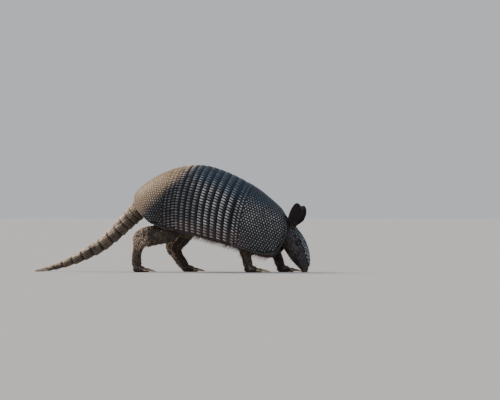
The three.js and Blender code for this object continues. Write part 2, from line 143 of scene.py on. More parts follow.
def look_up(table: Array, row: Array, column: Array) -> Array:
    """Reads a table between its entries.

    Args:
        table: rows and columns of numbers.
        row: where to read, counted in rows.
        column: where to read, counted in columns.

    Returns:
        One number for each place.
    """
    r = np.clip(row, 0, table.shape[0] - 1.001)
    c = np.clip(column, 0, table.shape[1] - 1.001)
    i, j = r.astype(int), c.astype(int)
    r, c = r - i, c - j
    upper = table[i, j] * (1 - c) + table[i, j + 1] * c
    lower = table[i + 1, j] * (1 - c) + table[i + 1, j + 1] * c
    return upper * (1 - r) + lower * r


# ---- Surfaces ----


class Form:
    """A surface that is read by a station along it and an angle round it."""

    step = 0.012

    def place(self, s: Array, a: Array) -> Array:
        """The points at stations s and angles a."""
        raise NotImplementedError

    def centre(self, s: Array) -> Array:
        """The middle of each section."""
        raise NotImplementedError

    def raised(self, s: Array, a: Array, height: Array) -> Array:
        """Points that stand over the surface.

        Args:
            s: their stations.
            a: their angles.
            height: how high they stand, with a minus for under it.

        Returns:
            The points.
        """
        s, a = paired(s, a)
        point = self.place(s, a)
        along = self.place(s + self.step, a) - self.place(s - self.step, a)
        across = self.place(s, a + self.step) - self.place(s, a - self.step)
        normal = unit(np.cross(along, across))
        outward = np.sign((normal * (point - self.centre(s))).sum(-1, keepdims=True))
        return point + normal * outward * np.asarray(height)[..., None]

    def inward(self, s: Array, a: Array, above: float) -> tuple[Array, Array, Array]:
        """Rays that start over the surface and go straight in.

        Args:
            s: their stations.
            a: their angles.
            above: how high over the surface they start.

        Returns:
            Where they start, where they cross the surface, and their directions.
        """
        outer, inner = (self.raised(s, a, np.full(np.shape(s), height)) for height in (above, 0.0))
        return outer, inner, unit(inner - outer)


@dataclass(frozen=True)
class Section:
    """One section of the shell or head: its top and low points as (x, z) and half its width."""

    top: tuple[float, float]
    low: tuple[float, float]
    half: float
    bow: float = 0.0  # how far ahead of the straight line its flank lies
    belly: float = 0.0  # how deep the belly hangs under its low point


class LoftedForm(Form):
    """The surface through a row of sections. Angle 0 is the ridge, and edge is the low line."""

    def __init__(self, sections: Sequence[Section], edge: float, blend: float) -> None:
        """Keeps the tracks through the sections.

        Args:
            sections: from the front backward for the shell, from the neck forward for the head.
            edge: the angle of the low line.
            blend: 2 is an ellipse, more is squarer.
        """
        self.last = len(sections) - 1
        self.edge = edge
        self.exponent = 2 / blend
        self.edge_depth = 1 - signed_power(np.cos(edge), self.exponent)
        self.tops = Track(np.array([s.top for s in sections], float))
        self.lows = Track(np.array([s.low for s in sections], float))
        self.widths = Track(np.array([(s.half, s.bow) for s in sections], float))
        self.bellies = np.array([s.belly for s in sections], float)

    def place(self, s: Array, a: Array) -> Array:
        """Finds points of the surface.

        Args:
            s: their stations.
            a: their angles.

        Returns:
            The points.
        """
        s, a = paired(s, a)
        t = s / self.last
        top, low, width = self.tops.at(t), self.lows.at(t), self.widths.at(t)
        depth = (1 - signed_power(np.cos(a), self.exponent)) / self.edge_depth
        middle = top + (low - top) * depth[..., None]
        bow = width[..., 1] * np.sin(np.pi * np.minimum(depth, 1))
        side = width[..., 0] * signed_power(np.sin(a), self.exponent)
        return np.stack([middle[..., 0] + bow, side, middle[..., 1]], -1)

    def centre(self, s: Array) -> Array:
        """The middle of each section."""
        t = np.asarray(s, float) / self.last
        middle = (self.tops.at(t) + self.lows.at(t)) / 2
        return np.stack([middle[..., 0], np.zeros_like(t), middle[..., 1]], -1)

    def belly(self, s: Array) -> Array:
        """How deep the belly hangs under the low line."""
        return np.interp(s, np.arange(len(self.bellies)), self.bellies)


class Chart:
    """Lays a stretch of a surface flat: travel from one end, and span round from the ridge."""

    def __init__(self, form: Form, start: float, end: float, edge: float, fine: float = 0.8) -> None:
        """Measures the stretch.

        Args:
            form: the surface.
            start: the station where travel is 0.
            end: the station at the other end, which may be lower than start.
            edge: the angle of both sides.
            fine: the distance between the chart's samples.
        """
        self.form, self.start, self.end, self.edge = form, start, end, edge
        rough = form.place(np.linspace(start, end, 60)[:, None], np.linspace(-edge, edge, 61)[None])
        longest = np.linalg.norm(np.diff(rough, axis=0), axis=-1).sum(0).max()
        widest = np.linalg.norm(np.diff(rough, axis=1), axis=-1).sum(1).max()
        rows, columns = int(longest / fine) + 8, 2 * int(widest / fine / 2) + 1
        stations, self.angles = np.linspace(start, end, rows), np.linspace(-edge, edge, columns)
        grid = form.place(stations[:, None], self.angles[None])
        steps = np.linalg.norm(np.diff(grid, axis=0), axis=-1)
        travel = np.vstack([np.zeros(columns), np.cumsum(steps, 0)])
        self.reach = travel[-1]
        self.travels = np.linspace(0, self.reach.max(), rows)
        self.stations = np.stack([np.interp(self.travels, t, stations) for t in travel.T], 1)
        rows_at = form.place(self.stations, self.angles[None])
        spans = np.linalg.norm(np.diff(rows_at, axis=1), axis=-1)
        arc = np.hstack([np.zeros((rows, 1)), np.cumsum(spans, 1)])
        arc -= arc[:, columns // 2, None]
        self.half_spans = arc[:, -1]
        self.square = self._square_line(rows_at, arc, int(columns * (0.5 + SQUARE_ANGLE / edge / 2)))
        self.widest = float(self.half_spans.max())
        self.spans = np.linspace(-self.widest, self.widest, columns)
        self.arcs = np.stack([np.interp(self.spans, row, self.angles) for row in arc])

    @staticmethod
    def _square_line(rows_at: Array, arc: Array, column: int) -> Array:
        """Follows a line down the flank that crosses all rows squarely.

        Args:
            rows_at: the points of each row.
            arc: their spans.
            column: where the line starts on the first row.

        Returns:
            The line's span on each row.
        """
        column = min(column, arc.shape[1] - 1)
        here, spans = rows_at[0, column], [arc[0, column]]
        for points, span in zip(rows_at[1:], arc[1:], strict=True):
            nearest = int(np.argmin(((points - here) ** 2).sum(-1)))
            j = min(max(nearest, 1), len(span) - 2)
            chord = points[j + 1] - points[j - 1]
            share = float(np.clip((here - points[j - 1]) @ chord / (chord @ chord), 0, 1))
            here = points[j - 1] + chord * share
            spans.append(span[j - 1] + (span[j + 1] - span[j - 1]) * share)
        return np.array(spans)

    def square_span(self, travel: float) -> float:
        """Where the line down the flank crosses the row at this travel."""
        return float(np.interp(travel, self.travels, self.square))

    @property
    def length(self) -> float:
        """The longest travel."""
        return float(self.travels[-1])

    def half_span(self, travel: Array) -> Array:
        """How far the edge is from the ridge at this travel."""
        return np.interp(travel, self.travels, self.half_spans)

    def unfold(self, flat: Array) -> tuple[Array, Array]:
        """The stations and angles of points on the chart, held to its edges.

        Args:
            flat: travel and span, along the last axis.

        Returns:
            The stations and the angles.
        """
        row = np.clip(flat[..., 0], 0, self.length) / self.length * (len(self.travels) - 1)
        column = (flat[..., 1] / self.widest + 1) / 2 * (len(self.spans) - 1)
        angle = look_up(self.arcs, row, column)
        across = (angle / self.edge + 1) / 2 * (len(self.angles) - 1)
        return look_up(self.stations, row, across), angle

    def covers(self, flat: Array, margin: float) -> Array:
        """Tells which points are well inside the chart.

        Args:
            flat: the points' travel and span.
            margin: how far from its ends and sides they have to be.

        Returns:
            Whether each is.
        """
        _, angle = self.unfold(flat)
        reach = np.interp(angle, self.angles, self.reach)
        inside = (flat[:, 0] > margin) & (flat[:, 0] < reach - margin)
        return inside & (np.abs(flat[:, 1]) < self.half_span(flat[:, 0]) - margin)

    def lift(self, flat: Array, height: Array) -> Array:
        """The points over these places on the chart."""
        station, angle = self.unfold(flat)
        return self.form.raised(station, angle, height)


# ---- Meshes ----


class Gathering:
    """Many small shapes in one mesh, each with its height, tone and own patch of the map."""

    def __init__(self) -> None:
        """Starts with nothing."""
        self.points: list[Array] = []
        self.faces: list[tuple[int, ...]] = []
        self.rise: list[Array] = []
        self.tone: list[Array] = []
        self.patch: list[Array] = []
        self.hidden: list[bool] = []
        self.count = 0

    def add(self, points: Array, faces: Sequence[Sequence[int]], rise: Array, tone: float,
            patch: Array, bottom: int | None = None) -> None:
        """Adds a shape.

        Args:
            points: its places, in millimetres.
            faces: its faces.
            rise: 0 at the foot of the shape and 1 on top, for each point.
            tone: how pale the whole shape is, about 0.5.
            patch: each point's place on the flat map, in millimetres.
            bottom: the number of the face that lies on the body, which gets no place of its own.
        """
        for index, face in enumerate(faces):
            self.faces.append(tuple(i + self.count for i in face))
            self.hidden.append(index == bottom)
        self.points.append(above_floor(points, FLOOR_GAP))
        self.rise.append(np.broadcast_to(rise, len(points)))
        self.tone.append(np.full(len(points), tone))
        self.patch.append(patch)
        self.count += len(points)

    def piece(self, name: str) -> bpy.types.Object:
        """Makes the mesh and its object.

        Args:
            name: the piece's name.

        Returns:
            The piece, with rise, tone and map.
        """
        piece = solid(name, np.concatenate(self.points), self.faces)
        mesh = piece.data
        if signed_volume(mesh) < 0:
            mesh.flip_normals()
        paint_numbers(mesh, rise=np.concatenate(self.rise), tone=np.concatenate(self.tone))
        patch = np.concatenate(self.patch)
        low, size = patch.min(0), np.ptp(patch, axis=0)
        patch = MAP_MARGIN * 2 + (1 - 3 * MAP_MARGIN) * (patch - low) / size
        loops = np.empty(len(mesh.loops), np.int32)
        mesh.loops.foreach_get("vertex_index", loops)
        at = patch[loops]
        under = np.repeat(self.hidden, [len(f) for f in self.faces])
        at[under] = HIDDEN_CORNER + at[under] * HIDDEN_SIZE
        layer = mesh.uv_layers.new(name=MAP_NAME)
        layer.uv.foreach_set("vector", at.astype(np.float32).ravel())
        return piece


def solid(name: str, points: Array, faces: Sequence[Sequence[int]]) -> bpy.types.Object:
    """Makes a smooth-shaded object.

    Args:
        name: its name.
        points: its vertices, in millimetres.
        faces: each face as the numbers of its vertices.

    Returns:
        The object.
    """
    mesh = bpy.data.meshes.new(name)
    mesh.from_pydata((np.asarray(points) * MM).tolist(), [], [tuple(f) for f in faces])
    mesh.update()
    piece = bpy.data.objects.new(name, mesh)
    bpy.context.scene.collection.objects.link(piece)
    Bench.smooth(piece)
    return piece


def signed_volume(mesh: bpy.types.Mesh) -> float:
    """Measures the room inside a closed mesh.

    Args:
        mesh: the mesh.

    Returns:
        Its volume, below 0 where its faces point inward.
    """
    built = bmesh.new()
    built.from_mesh(mesh)
    volume = built.calc_volume(signed=True)
    built.free()
    return volume


def paint_numbers(mesh: bpy.types.Mesh, **numbers: Array) -> None:
    """Gives each vertex numbers, by name, that materials can read."""
    for name, values in numbers.items():
        layer = mesh.attributes.new(name, "FLOAT", "POINT")
        layer.data.foreach_set("value", np.asarray(values, np.float32))


def vertices_of(piece: bpy.types.Object) -> Array:
    """Where a piece's vertices are, in millimetres."""
    places = np.empty(len(piece.data.vertices) * 3, np.float32)
    piece.data.vertices.foreach_get("co", places)
    return places.reshape(-1, 3).astype(float) / MM


def move_vertices(piece: bpy.types.Object, places: Array) -> None:
    """Puts a piece's vertices at these places, in millimetres."""
    piece.data.vertices.foreach_set("co", (places * MM).astype(np.float32).ravel())
    piece.data.update()


def normals_of(piece: bpy.types.Object) -> Array:
    """The outward direction at each vertex."""
    found = np.empty(len(piece.data.vertices) * 3, np.float32)
    piece.data.vertex_normals.foreach_get("vector", found)
    return found.reshape(-1, 3).astype(float)


def strips(rows: int, columns: int, round_rows: bool = False, round_columns: bool = False) -> list[tuple]:
    """The four-sided faces of a grid of points.

    Args:
        rows: how many rows the grid has.
        columns: how many points are in a row.
        round_rows: whether the last row joins the first.
        round_columns: whether each row's last point joins its first.

    Returns:
        Each face as the numbers of its points.
    """
    faces = []
    for i in range(rows if round_rows else rows - 1):
        for j in range(columns if round_columns else columns - 1):
            i1, j1 = (i + 1) % rows, (j + 1) % columns
            faces.append((i * columns + j, i * columns + j1, i1 * columns + j1, i1 * columns + j))
    return faces


def lathe_faces(rings: int, sides: int) -> list[tuple]:
    """The faces of a tube with one point at each end, after its rings of points.

    Args:
        rings: how many rings of points there are.
        sides: how many points are in a ring.

    Returns:
        Each face as the numbers of its points.
    """
    faces = strips(rings, sides, round_columns=True)
    first, last, end = rings * sides, rings * sides + 1, (rings - 1) * sides
    for j in range(sides):
        after = (j + 1) % sides
        faces.append((first, after, j))
        faces.append((last, end + j, end + after))
    return faces


class Bench:
    """The modelling operators, each on one piece at a time."""

    @staticmethod
    def alone(piece: bpy.types.Object) -> None:
        """Selects this piece and nothing else."""
        bpy.ops.object.select_all(action="DESELECT")
        piece.select_set(True)
        bpy.context.view_layer.objects.active = piece

    @classmethod
    def modify(cls, piece: bpy.types.Object, kind: str, **settings: Any) -> None:
        """Adds a modifier and applies it.

        Args:
            piece: the piece.
            kind: the modifier's type.
            settings: what is set on it, by name.
        """
        cls.alone(piece)
        modifier = piece.modifiers.new(kind.title(), kind)
        for key, value in settings.items():
            setattr(modifier, key, value)
        bpy.ops.object.modifier_apply(modifier=modifier.name)

    @classmethod
    def settle(cls, piece: bpy.types.Object, name: str) -> bpy.types.Object:
        """Names a piece and puts its place into its mesh.

        Args:
            piece: the piece.
            name: its name.

        Returns:
            The same piece.
        """
        cls.alone(piece)
        bpy.ops.object.transform_apply(location=True, rotation=True, scale=True)
        piece.name = piece.data.name = name
        return piece

    @staticmethod
    def start(add: Callable[..., Any], **settings: Any) -> bpy.types.Object:
        """Adds a primitive with these settings, with nothing else selected."""
        bpy.ops.object.select_all(action="DESELECT")
        add(**settings)
        return bpy.context.object

    @classmethod
    def outward(cls, piece: bpy.types.Object) -> None:
        """Turns all faces outward.

        Args:
            piece: a closed piece.
        """
        cls.alone(piece)
        bpy.ops.object.mode_set(mode="EDIT")
        bpy.ops.mesh.select_all(action="SELECT")
        bpy.ops.mesh.normals_make_consistent(inside=False)
        bpy.ops.object.mode_set(mode="OBJECT")

    @classmethod
    def cast(cls, name: str, points: Array, faces: Sequence[Sequence[int]]) -> bpy.types.Object:
        """A closed, smooth-shaded object from points in millimetres, with its faces outward."""
        piece = solid(name, points, faces)
        cls.outward(piece)
        return piece

    @staticmethod
    def smooth(piece: bpy.types.Object) -> None:
        """Shades all faces smooth."""
        piece.data.polygons.foreach_set("use_smooth", np.ones(len(piece.data.polygons), bool))

    @classmethod
    def join(cls, pieces: Sequence[bpy.types.Object], name: str) -> bpy.types.Object:
        """Makes several pieces one.

        Args:
            pieces: the pieces, of which the first takes in the rest.
            name: its new name.

        Returns:
            That piece.
        """
        cls.alone(pieces[0])
        for piece in pieces[1:]:
            piece.select_set(True)
        bpy.ops.object.join()
        pieces[0].name = pieces[0].data.name = name
        return pieces[0]

    @classmethod
    @contextmanager
    def picked(cls, piece: bpy.types.Object, kind: str, wanted: Callable[[Any], bool]) -> Iterator[None]:
        """Edit mode with only the wanted vertices, edges or faces selected.

        Args:
            piece: the piece to edit.
            kind: VERT, EDGE or FACE.
            wanted: says of each one whether it is selected.

        Yields:
            Nothing, while the piece is edited.
        """
        cls.alone(piece)
        bpy.ops.object.mode_set(mode="EDIT")
        bpy.ops.mesh.select_mode(type=kind)
        bpy.ops.mesh.select_all(action="DESELECT")
        built = bmesh.from_edit_mesh(piece.data)
        for part in {"VERT": built.verts, "EDGE": built.edges, "FACE": built.faces}[kind]:
            part.select_set(bool(wanted(part)))
        built.select_flush_mode()
        bmesh.update_edit_mesh(piece.data)
        yield
        bpy.ops.object.mode_set(mode="OBJECT")


# ---- Paint ----


class Value:
    """A number that varies over a surface, with the usual arithmetic."""

    def __init__(self, paint: "Paint", socket: bpy.types.NodeSocket) -> None:
        """Wraps an output socket of the paint's nodes."""
        self.paint, self.socket = paint, socket

    def _maths(self, operation: str, first: Any, second: Any) -> "Value":
        """A Math node on two numbers or values."""
        return self.paint.node("ShaderNodeMath", {"operation": operation}, {0: first, 1: second})

    def __add__(self, other: Any) -> "Value":
        """self + other"""
        return self._maths("ADD", self, other)

    def __radd__(self, other: Any) -> "Value":
        """other + self"""
        return self._maths("ADD", other, self)

    def __sub__(self, other: Any) -> "Value":
        """self - other"""
        return self._maths("SUBTRACT", self, other)

    def __rsub__(self, other: Any) -> "Value":
        """other - self"""
        return self._maths("SUBTRACT", other, self)

    def __mul__(self, other: Any) -> "Value":
        """self * other"""
        return self._maths("MULTIPLY", self, other)

    def __rmul__(self, other: Any) -> "Value":
        """other * self"""
        return self._maths("MULTIPLY", other, self)

    def between(self, low: float, high: float) -> "Value":
        """0 below low, 1 above high and a smooth rise between them."""
        settings = {"interpolation_type": "SMOOTHSTEP"}
        return self.paint.node("ShaderNodeMapRange", settings, {"Value": self, 1: low, 2: high})


class Paint:
    """One material, built node by node."""

    def __init__(self, name: str, roughness: float = 0.6, **constants: Any) -> None:
        """Starts a material with one glossy shader.

        Args:
            name: the material's name.
            roughness: the shader's roughness, until a pattern drives it.
            constants: the shader's other sockets, by name with _ for a space.
        """
        self.material = bpy.data.materials.new(name)
        self.material.use_nodes = True
        self.tree = self.material.node_tree
        self.tree.nodes.clear()
        self.shader = self.tree.nodes.new("ShaderNodeBsdfPrincipled")
        self.shader.inputs["Roughness"].default_value = roughness
        for key, value in constants.items():
            self.shader.inputs[key.replace("_", " ")].default_value = value
        output = self.tree.nodes.new("ShaderNodeOutputMaterial")
        self.tree.links.new(self.shader.outputs[0], output.inputs[0])

    def node(self, kind: str, settings: dict[str, Any], sockets: dict[Any, Any], out: Any = 0) -> Value:
        """Adds a node.

        Args:
            kind: the node's type.
            settings: what is set on the node itself, before its sockets.
            sockets: a number, colour or Value for each input, by name or number.
            out: the output to read.

        Returns:
            That output.
        """
        made = self.tree.nodes.new(kind)
        for key, value in settings.items():
            setattr(made, key, value)
        for key, value in sockets.items():
            if isinstance(value, Value):
                self.tree.links.new(value.socket, made.inputs[key])
            elif isinstance(value, tuple) and made.inputs[key].type == "RGBA":
                made.inputs[key].default_value = (*value[:3], 1)
            else:
                made.inputs[key].default_value = value
        return Value(self, made.outputs[out])

    def place(self) -> Value:
        """The object's own coordinates, in metres."""
        return self.node("ShaderNodeTexCoord", {}, {}, "Object")

    def number(self, name: str) -> Value:
        """A number that the mesh holds for each vertex."""
        return self.node("ShaderNodeAttribute", {"attribute_name": name}, {}, "Fac")

    def noise(self, size: float, detail: float = 3, roughness: float = 0.55,
              where: Value | None = None) -> Value:
        """Cloudy noise whose blotches are about this many millimetres wide."""
        sockets = {"Vector": where or self.place(), "Scale": 1 / (size * MM), "Detail": detail}
        return self.node("ShaderNodeTexNoise", {}, sockets | {"Roughness": roughness})

    def cells(self, size: float) -> Value:
        """The distance to the nearest of many points, about this many millimetres apart."""
        sockets = {"Vector": self.place(), "Scale": 1 / (size * MM)}
        return self.node("ShaderNodeTexVoronoi", {}, sockets, "Distance")

    def axis(self, letter: str) -> Value:
        """One of the object's own coordinates, in millimetres."""
        return self.node("ShaderNodeSeparateXYZ", {}, {0: self.place()}, letter) * (1 / MM)

    def mix(self, share: Value | float, first: Any, second: Any) -> Value:
        """A colour between two colours."""
        settings = {"data_type": "RGBA", "clamp_factor": True}
        return self.node("ShaderNodeMix", settings, {0: share, 6: first, 7: second}, 2)

    def wear(self, socket: str, value: Value) -> None:
        """Feeds one of the shader's sockets."""
        self.tree.links.new(value.socket, self.shader.inputs[socket])

    def relief(self, height: Value, depth: float, strength: float = 1.0) -> None:
        """Bumps the surface by a height from 0 to 1 that stands for this many millimetres."""
        sockets = {"Strength": strength, "Distance": depth * MM, "Height": height}
        self.wear("Normal", self.node("ShaderNodeBump", {}, sockets))


@dataclass(frozen=True)
class ScaleFinish:
    """Horn scales: dark in the grooves, paler on top, with patches of wear and stains."""

    name: str
    groove: Colour
    horn: Colour
    stain: Colour
    contrast: float = 1.0
    roughness: float = 0.5
    low: float = 0.35
    high: float = 0.95
    gloss: float = 0.3
    # whether painted light and shade and other tints are laid on by place, as on the shell
    zoned: bool = False

    def material(self) -> bpy.types.Material:
        """Builds the finish, which reads rise and tone from the mesh.

        Returns:
            The material.
        """
        paint = Paint(self.name, self.roughness, Specular_IOR_Level=self.gloss)
        rise, tone = paint.number("rise"), paint.number("tone")
        blotches = paint.noise(9, 4)
        grain = paint.noise(0.8, 3, 0.7)
        top = rise.between(self.low, self.high) * (tone * self.contrast)
        groove, horn = self.groove, paint.mix(blotches.between(0.35, 0.75) * 0.55, self.horn, self.stain)
        if self.zoned:
            # painted light and shade by place; painted sunlight on the rump also makes the scale tops paler
            groove, horn, rump = self._zones(paint, groove, horn)
            top = top * (rump * 0.45 + 1)
        colour = paint.mix(top * (grain * 0.5 + 0.72), groove, horn)
        dirt = paint.noise(28, 5, 0.6).between(0.5, 0.72) * 0.35
        paint.wear("Base Color", paint.mix(dirt, colour, groove))
        paint.wear("Roughness", 0.25 * grain + (self.roughness - 0.05) - rise * 0.08)
        paint.relief(grain * 0.5 + paint.noise(0.35, 2, 0.5) * 0.3, 0.22, 0.6)
        return paint.material

    @staticmethod
    def _zones(paint: Paint, groove: Any, horn: Any) -> tuple[Value, Value, Value]:
        """Paints light and shade by place: painted blue shade on the back, rosy low down, darker before the
        rump, duller low in front, a painted highlight high on the rear and painted sunlight on the rump.

        Args:
            paint: the material so far.
            groove: the colour between the scales.
            horn: the colour on top of them.

        Returns:
            Both colours, with the painted light and shade, and where the painted sunlight on the rump is.
        """
        x, z, drift = paint.axis("X"), paint.axis("Z"), (paint.noise(40, 3) - 0.5) * 60
        # painted sunlight: the rump, pale and warm
        rump = (z - x + drift * 0.4).between(140, 172)
        low = (1 - (z + x * 0.24 + drift * 0.3).between(94, 122)) * x.between(-20, 60)
        low = low * (1 - x.between(130, 175))
        # painted shade, blue as under the sky, on the back
        back = (z + x * 0.45 + drift * 0.35).between(190, 226) * (1 - rump)
        dim = x.between(-45, -15) * (1 - x.between(40, 80)) * (1 - rump)
        under = x.between(120, 160) * (1 - z.between(60, 105))
        # painted highlight along the sunlit band edges high on the rear
        crest_highlight = (z - x + drift * 0.4).between(122, 165) * z.between(174, 194)
        # the back's groove tint is painted shade; low down a rosy tint
        for where, share, tint in ((back, 0.85, (0.020, 0.036, 0.060)), (low, 0.8, (0.058, 0.036, 0.032))):
            groove = paint.mix(where * share, groove, tint)
        # the back's tint is painted shade and the crest's a painted highlight; dim, low and under are tints
        # by place
        for where, share, tint in (
            (dim, 0.9, (0.17, 0.17, 0.185)),
            (back, 0.85, (0.125, 0.17, 0.23)),
            (low, 0.6, (0.46, 0.36, 0.335)),
            (under, 0.6, (0.25, 0.245, 0.25)),
            (crest_highlight, 0.8, (0.80, 0.66, 0.54)),
        ):
            horn = paint.mix(where * share, horn, tint)
        # painted warm sunlight on the rump, in the grooves and on top
        groove = paint.mix(rump * 0.9, groove, (0.34, 0.22, 0.135))
        return groove, paint.mix(rump * 0.95, horn, (0.98, 0.77, 0.55)), rump


@dataclass(frozen=True)
class HideFinish:
    """Leathery skin: pebbled, wrinkled, dark above and pinker in the folds, with painted shade in its
    creases.
    """

    name: str
    dark: Colour
    warm: Colour
    pale: Colour
    roughness: float = 0.72
    shaded: Colour = (0.0085, 0.006, 0.006)
    # painted shade in the creases, lid lines, mouth and nostrils
    creased: Colour = (0.012, 0.009, 0.008)

    def material(self) -> bpy.types.Material:
        """Builds the finish, which reads crease, blush and shade from the mesh.

        Returns:
            The material.
        """
        paint = Paint(self.name, self.roughness, Specular_IOR_Level=0.25)
        crease, blush, shade = paint.number("crease"), paint.number("blush"), paint.number("shade")
        blotches = paint.noise(14, 5, 0.6)
        pebbles = paint.cells(1.5)
        grain = paint.noise(0.6, 3, 0.65)
        colour = paint.mix(blotches.between(0.3, 0.7), self.dark, self.pale)
        colour = paint.mix(blush.between(0.05, 0.95), colour, self.warm)
        colour = paint.mix(pebbles.between(0.35, 0.8) * 0.55, colour, self.dark)
        colour = paint.mix(shade.between(0.0, 1.0) * 0.85, colour, self.shaded)
        # painted shade: darker in the creases, lid lines, mouth and nostrils
        colour = paint.mix(crease.between(0.1, 0.9) * 0.75, colour, self.creased)
        paint.wear("Base Color", paint.mix((grain - 0.5) * 0.3 + 0.1, colour, self.dark))
        paint.wear("Roughness", 0.2 * grain + (self.roughness - 0.1))
        height = (1 - pebbles) * (0.6 + shade * 0.5) + grain * 0.25 - paint.cells(4.5) * (0.25 + shade * 0.45)
        paint.relief(height, 0.5, 0.7)
        return paint.material


# ---- Scale patterns ----


def clip(polygon: Outline, nx: float, ny: float, limit: float) -> Outline:
    """Cuts a convex outline along a straight line.

    Args:
        polygon: its corners, in order.
        nx: the x part of the direction across the line.
        ny: the y part of it.
        limit: the most that nx * x + ny * y may be in what is kept.

    Returns:
        The corners of what is kept.
    """
    kept = []
    ax, ay = polygon[-1]
    da = nx * ax + ny * ay - limit
    for bx, by in polygon:
        db = nx * bx + ny * by - limit
        if (da <= 0) != (db <= 0):
            t = da / (da - db)
            kept.append((ax + t * (bx - ax), ay + t * (by - ay)))
        if db <= 0:
            kept.append((bx, by))
        ax, ay, da = bx, by, db
    return kept


@dataclass(frozen=True)
class Scale:
    """One scale before it has a shape: where it lies, how far it spreads and how it looks."""

    at: tuple[float, float]
    radius: float
    stretch: float = 1.0
    height: float = 0.5
    tone: float = 0.5


def outlines(scales: Sequence[Scale], groove: float, corners: int = 12, least: float = 0.2) -> list[Array]:
    """Shares the ground out between scales, each taking more the larger its radius is.

    Args:
        scales: all scales of a patch.
        groove: the width left free between neighbours.
        corners: how round a scale is where it has no neighbour.
        least: the shortest side an outline keeps, as a share of the radius.

    Returns:
        An outline for each scale, about its own middle, empty where it found no room.
    """
    tree = KDTree(len(scales))
    for index, scale in enumerate(scales):
        tree.insert((*scale.at, 0), index)
    tree.balance()
    widest = max(s.radius * max(s.stretch, 1) for s in scales)
    found = []
    turns = [2 * math.pi * (i + 0.5) / corners for i in range(corners)]
    for index, scale in enumerate(scales):
        polygon = [(scale.radius * math.cos(t), scale.radius * math.sin(t)) for t in turns]
        reach = scale.radius * max(scale.stretch, 1) + widest
        for _, other, distance in tree.find_range((*scale.at, 0), reach):
            if other == index or distance < 1e-6:
                continue
            near = scales[other]
            dx = (near.at[0] - scale.at[0]) / scale.stretch
            dy = near.at[1] - scale.at[1]
            span = dx * dx + dy * dy
            own, its = scale.radius**2, near.radius**2
            limit = (span + own - its) / 2 - groove / 2 * math.sqrt(span)
            if limit > scale.radius * math.sqrt(span):
                continue
            polygon = clip(polygon, dx, dy, limit)
            if len(polygon) < 3:
                break
        outline = np.array(polygon, float).reshape(-1, 2)
        sides = np.linalg.norm(outline - np.roll(outline, 1, 0), axis=1)
        if (sides > least * scale.radius).sum() > 3:
            outline = outline[sides > least * scale.radius]
        outline[:, 0] *= scale.stretch
        found.append(outline if len(polygon) > 2 else np.empty((0, 2)))
    return found


@dataclass(frozen=True)
class Dome:
    """The shape of a scale's rise: how far in and how high each ring of points lies."""

    rings: tuple[tuple[float, float], ...] = ((1.0, 0.0), (0.8, 0.8))
    sunk: float = 0.45

    def over(self, scale: Scale, outline: Array, base: float) -> tuple[Array, Array, Array, list[tuple]]:
        """Builds one scale on the flat.

        Args:
            scale: its place and height.
            outline: its outline about its own middle.
            base: the height of the ground it stands on.

        Returns:
            The points' places about the scale's own, their heights and rises, and the faces.
        """
        middle, sides = outline.mean(0), len(outline)
        flats = [middle + (outline - middle) * share for share, _ in self.rings] + [middle[None]]
        rises = np.concatenate([np.repeat([rise for _, rise in self.rings], sides), [1.0]])
        heights = base + np.where(rises > 0, scale.height * rises, -self.sunk)
        faces: list[tuple[int, ...]] = [tuple(range(sides))[::-1]]
        for i in range(len(self.rings) - 1):
            for j in range(sides):
                after = (j + 1) % sides
                faces.append((i * sides + j, i * sides + after, (i + 1) * sides + after, (i + 1) * sides + j))
        last, top = (len(self.rings) - 1) * sides, len(self.rings) * sides
        faces += [(last + j, last + (j + 1) % sides, top) for j in range(sides)]
        return np.concatenate(flats), heights, rises, faces


class Layer:
    """Scales laid on one chart, lifted onto the body all at once."""

    def __init__(self, lift: Callable[[Array, Array], Array], groove: float) -> None:
        """Starts with no scales.

        Args:
            lift: turns places on the chart and heights into points.
            groove: the width left free between scales.
        """
        self.lift, self.groove = lift, groove
        self.gathered = Gathering()

    def add(self, scales: Sequence[Scale], dome_of: Callable[[Scale], Dome], base: float) -> None:
        """Shapes scales and adds them to the layer.

        Args:
            scales: the scales.
            dome_of: picks the dome that suits a scale.
            base: the height of the ground they stand on.
        """
        for scale, outline in zip(scales, outlines(scales, self.groove), strict=True):
            if len(outline) > 2:
                flat, heights, rises, faces = dome_of(scale).over(scale, outline, base)
                place = np.column_stack([flat + np.array(scale.at), heights])
                patch = flat * PATCH_SHARE + np.array(scale.at)
                self.gathered.add(place, faces, rises, scale.tone, patch, 0)

    def piece(self, name: str) -> bpy.types.Object:
        """Lifts every scale onto the body and makes the piece."""
        flat = np.concatenate(self.gathered.points)
        self.gathered.points = [self.lift(flat[:, :2], flat[:, 2])]
        return self.gathered.piece(name)


FLAT_DOME = Dome()
ROUND_DOME = Dome(((1.0, 0.0), (0.88, 0.55), (0.6, 0.92)))


# ---- Pieces on the frame ----


def place_piece(piece: bpy.types.Object, material: bpy.types.Material, slot: str, *nodes: str) -> None:
    """Dresses a piece, puts it on the frame and reports it.

    Args:
        piece: the finished piece.
        material: its finish.
        slot: the record's material slot; not used.
        nodes: the frame's nodes that it stands for.
    """
    piece.data.materials.clear()
    piece.data.materials.append(material)
    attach(piece, BODY)
    if nodes:
        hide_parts(*nodes)
    faces = sum(len(f.vertices) - 2 for f in piece.data.polygons)
    log.info("%s: %d triangles, stands for %s", piece.name, faces, ", ".join(nodes) or "nothing")


# ---- The frame's measures, repeated from its drawing ----

SHELL_THICKNESS = 3.0
SHELL_EDGE = math.radians(115)
SHELL_BLEND = 2.25
BAND_COUNT = 9
SCAPULAR_END = 4.0
PELVIC_START = 7.0
BAND_PITCH = (PELVIC_START - SCAPULAR_END) / BAND_COUNT
FLESH_INSET = SHELL_THICKNESS + 0.9

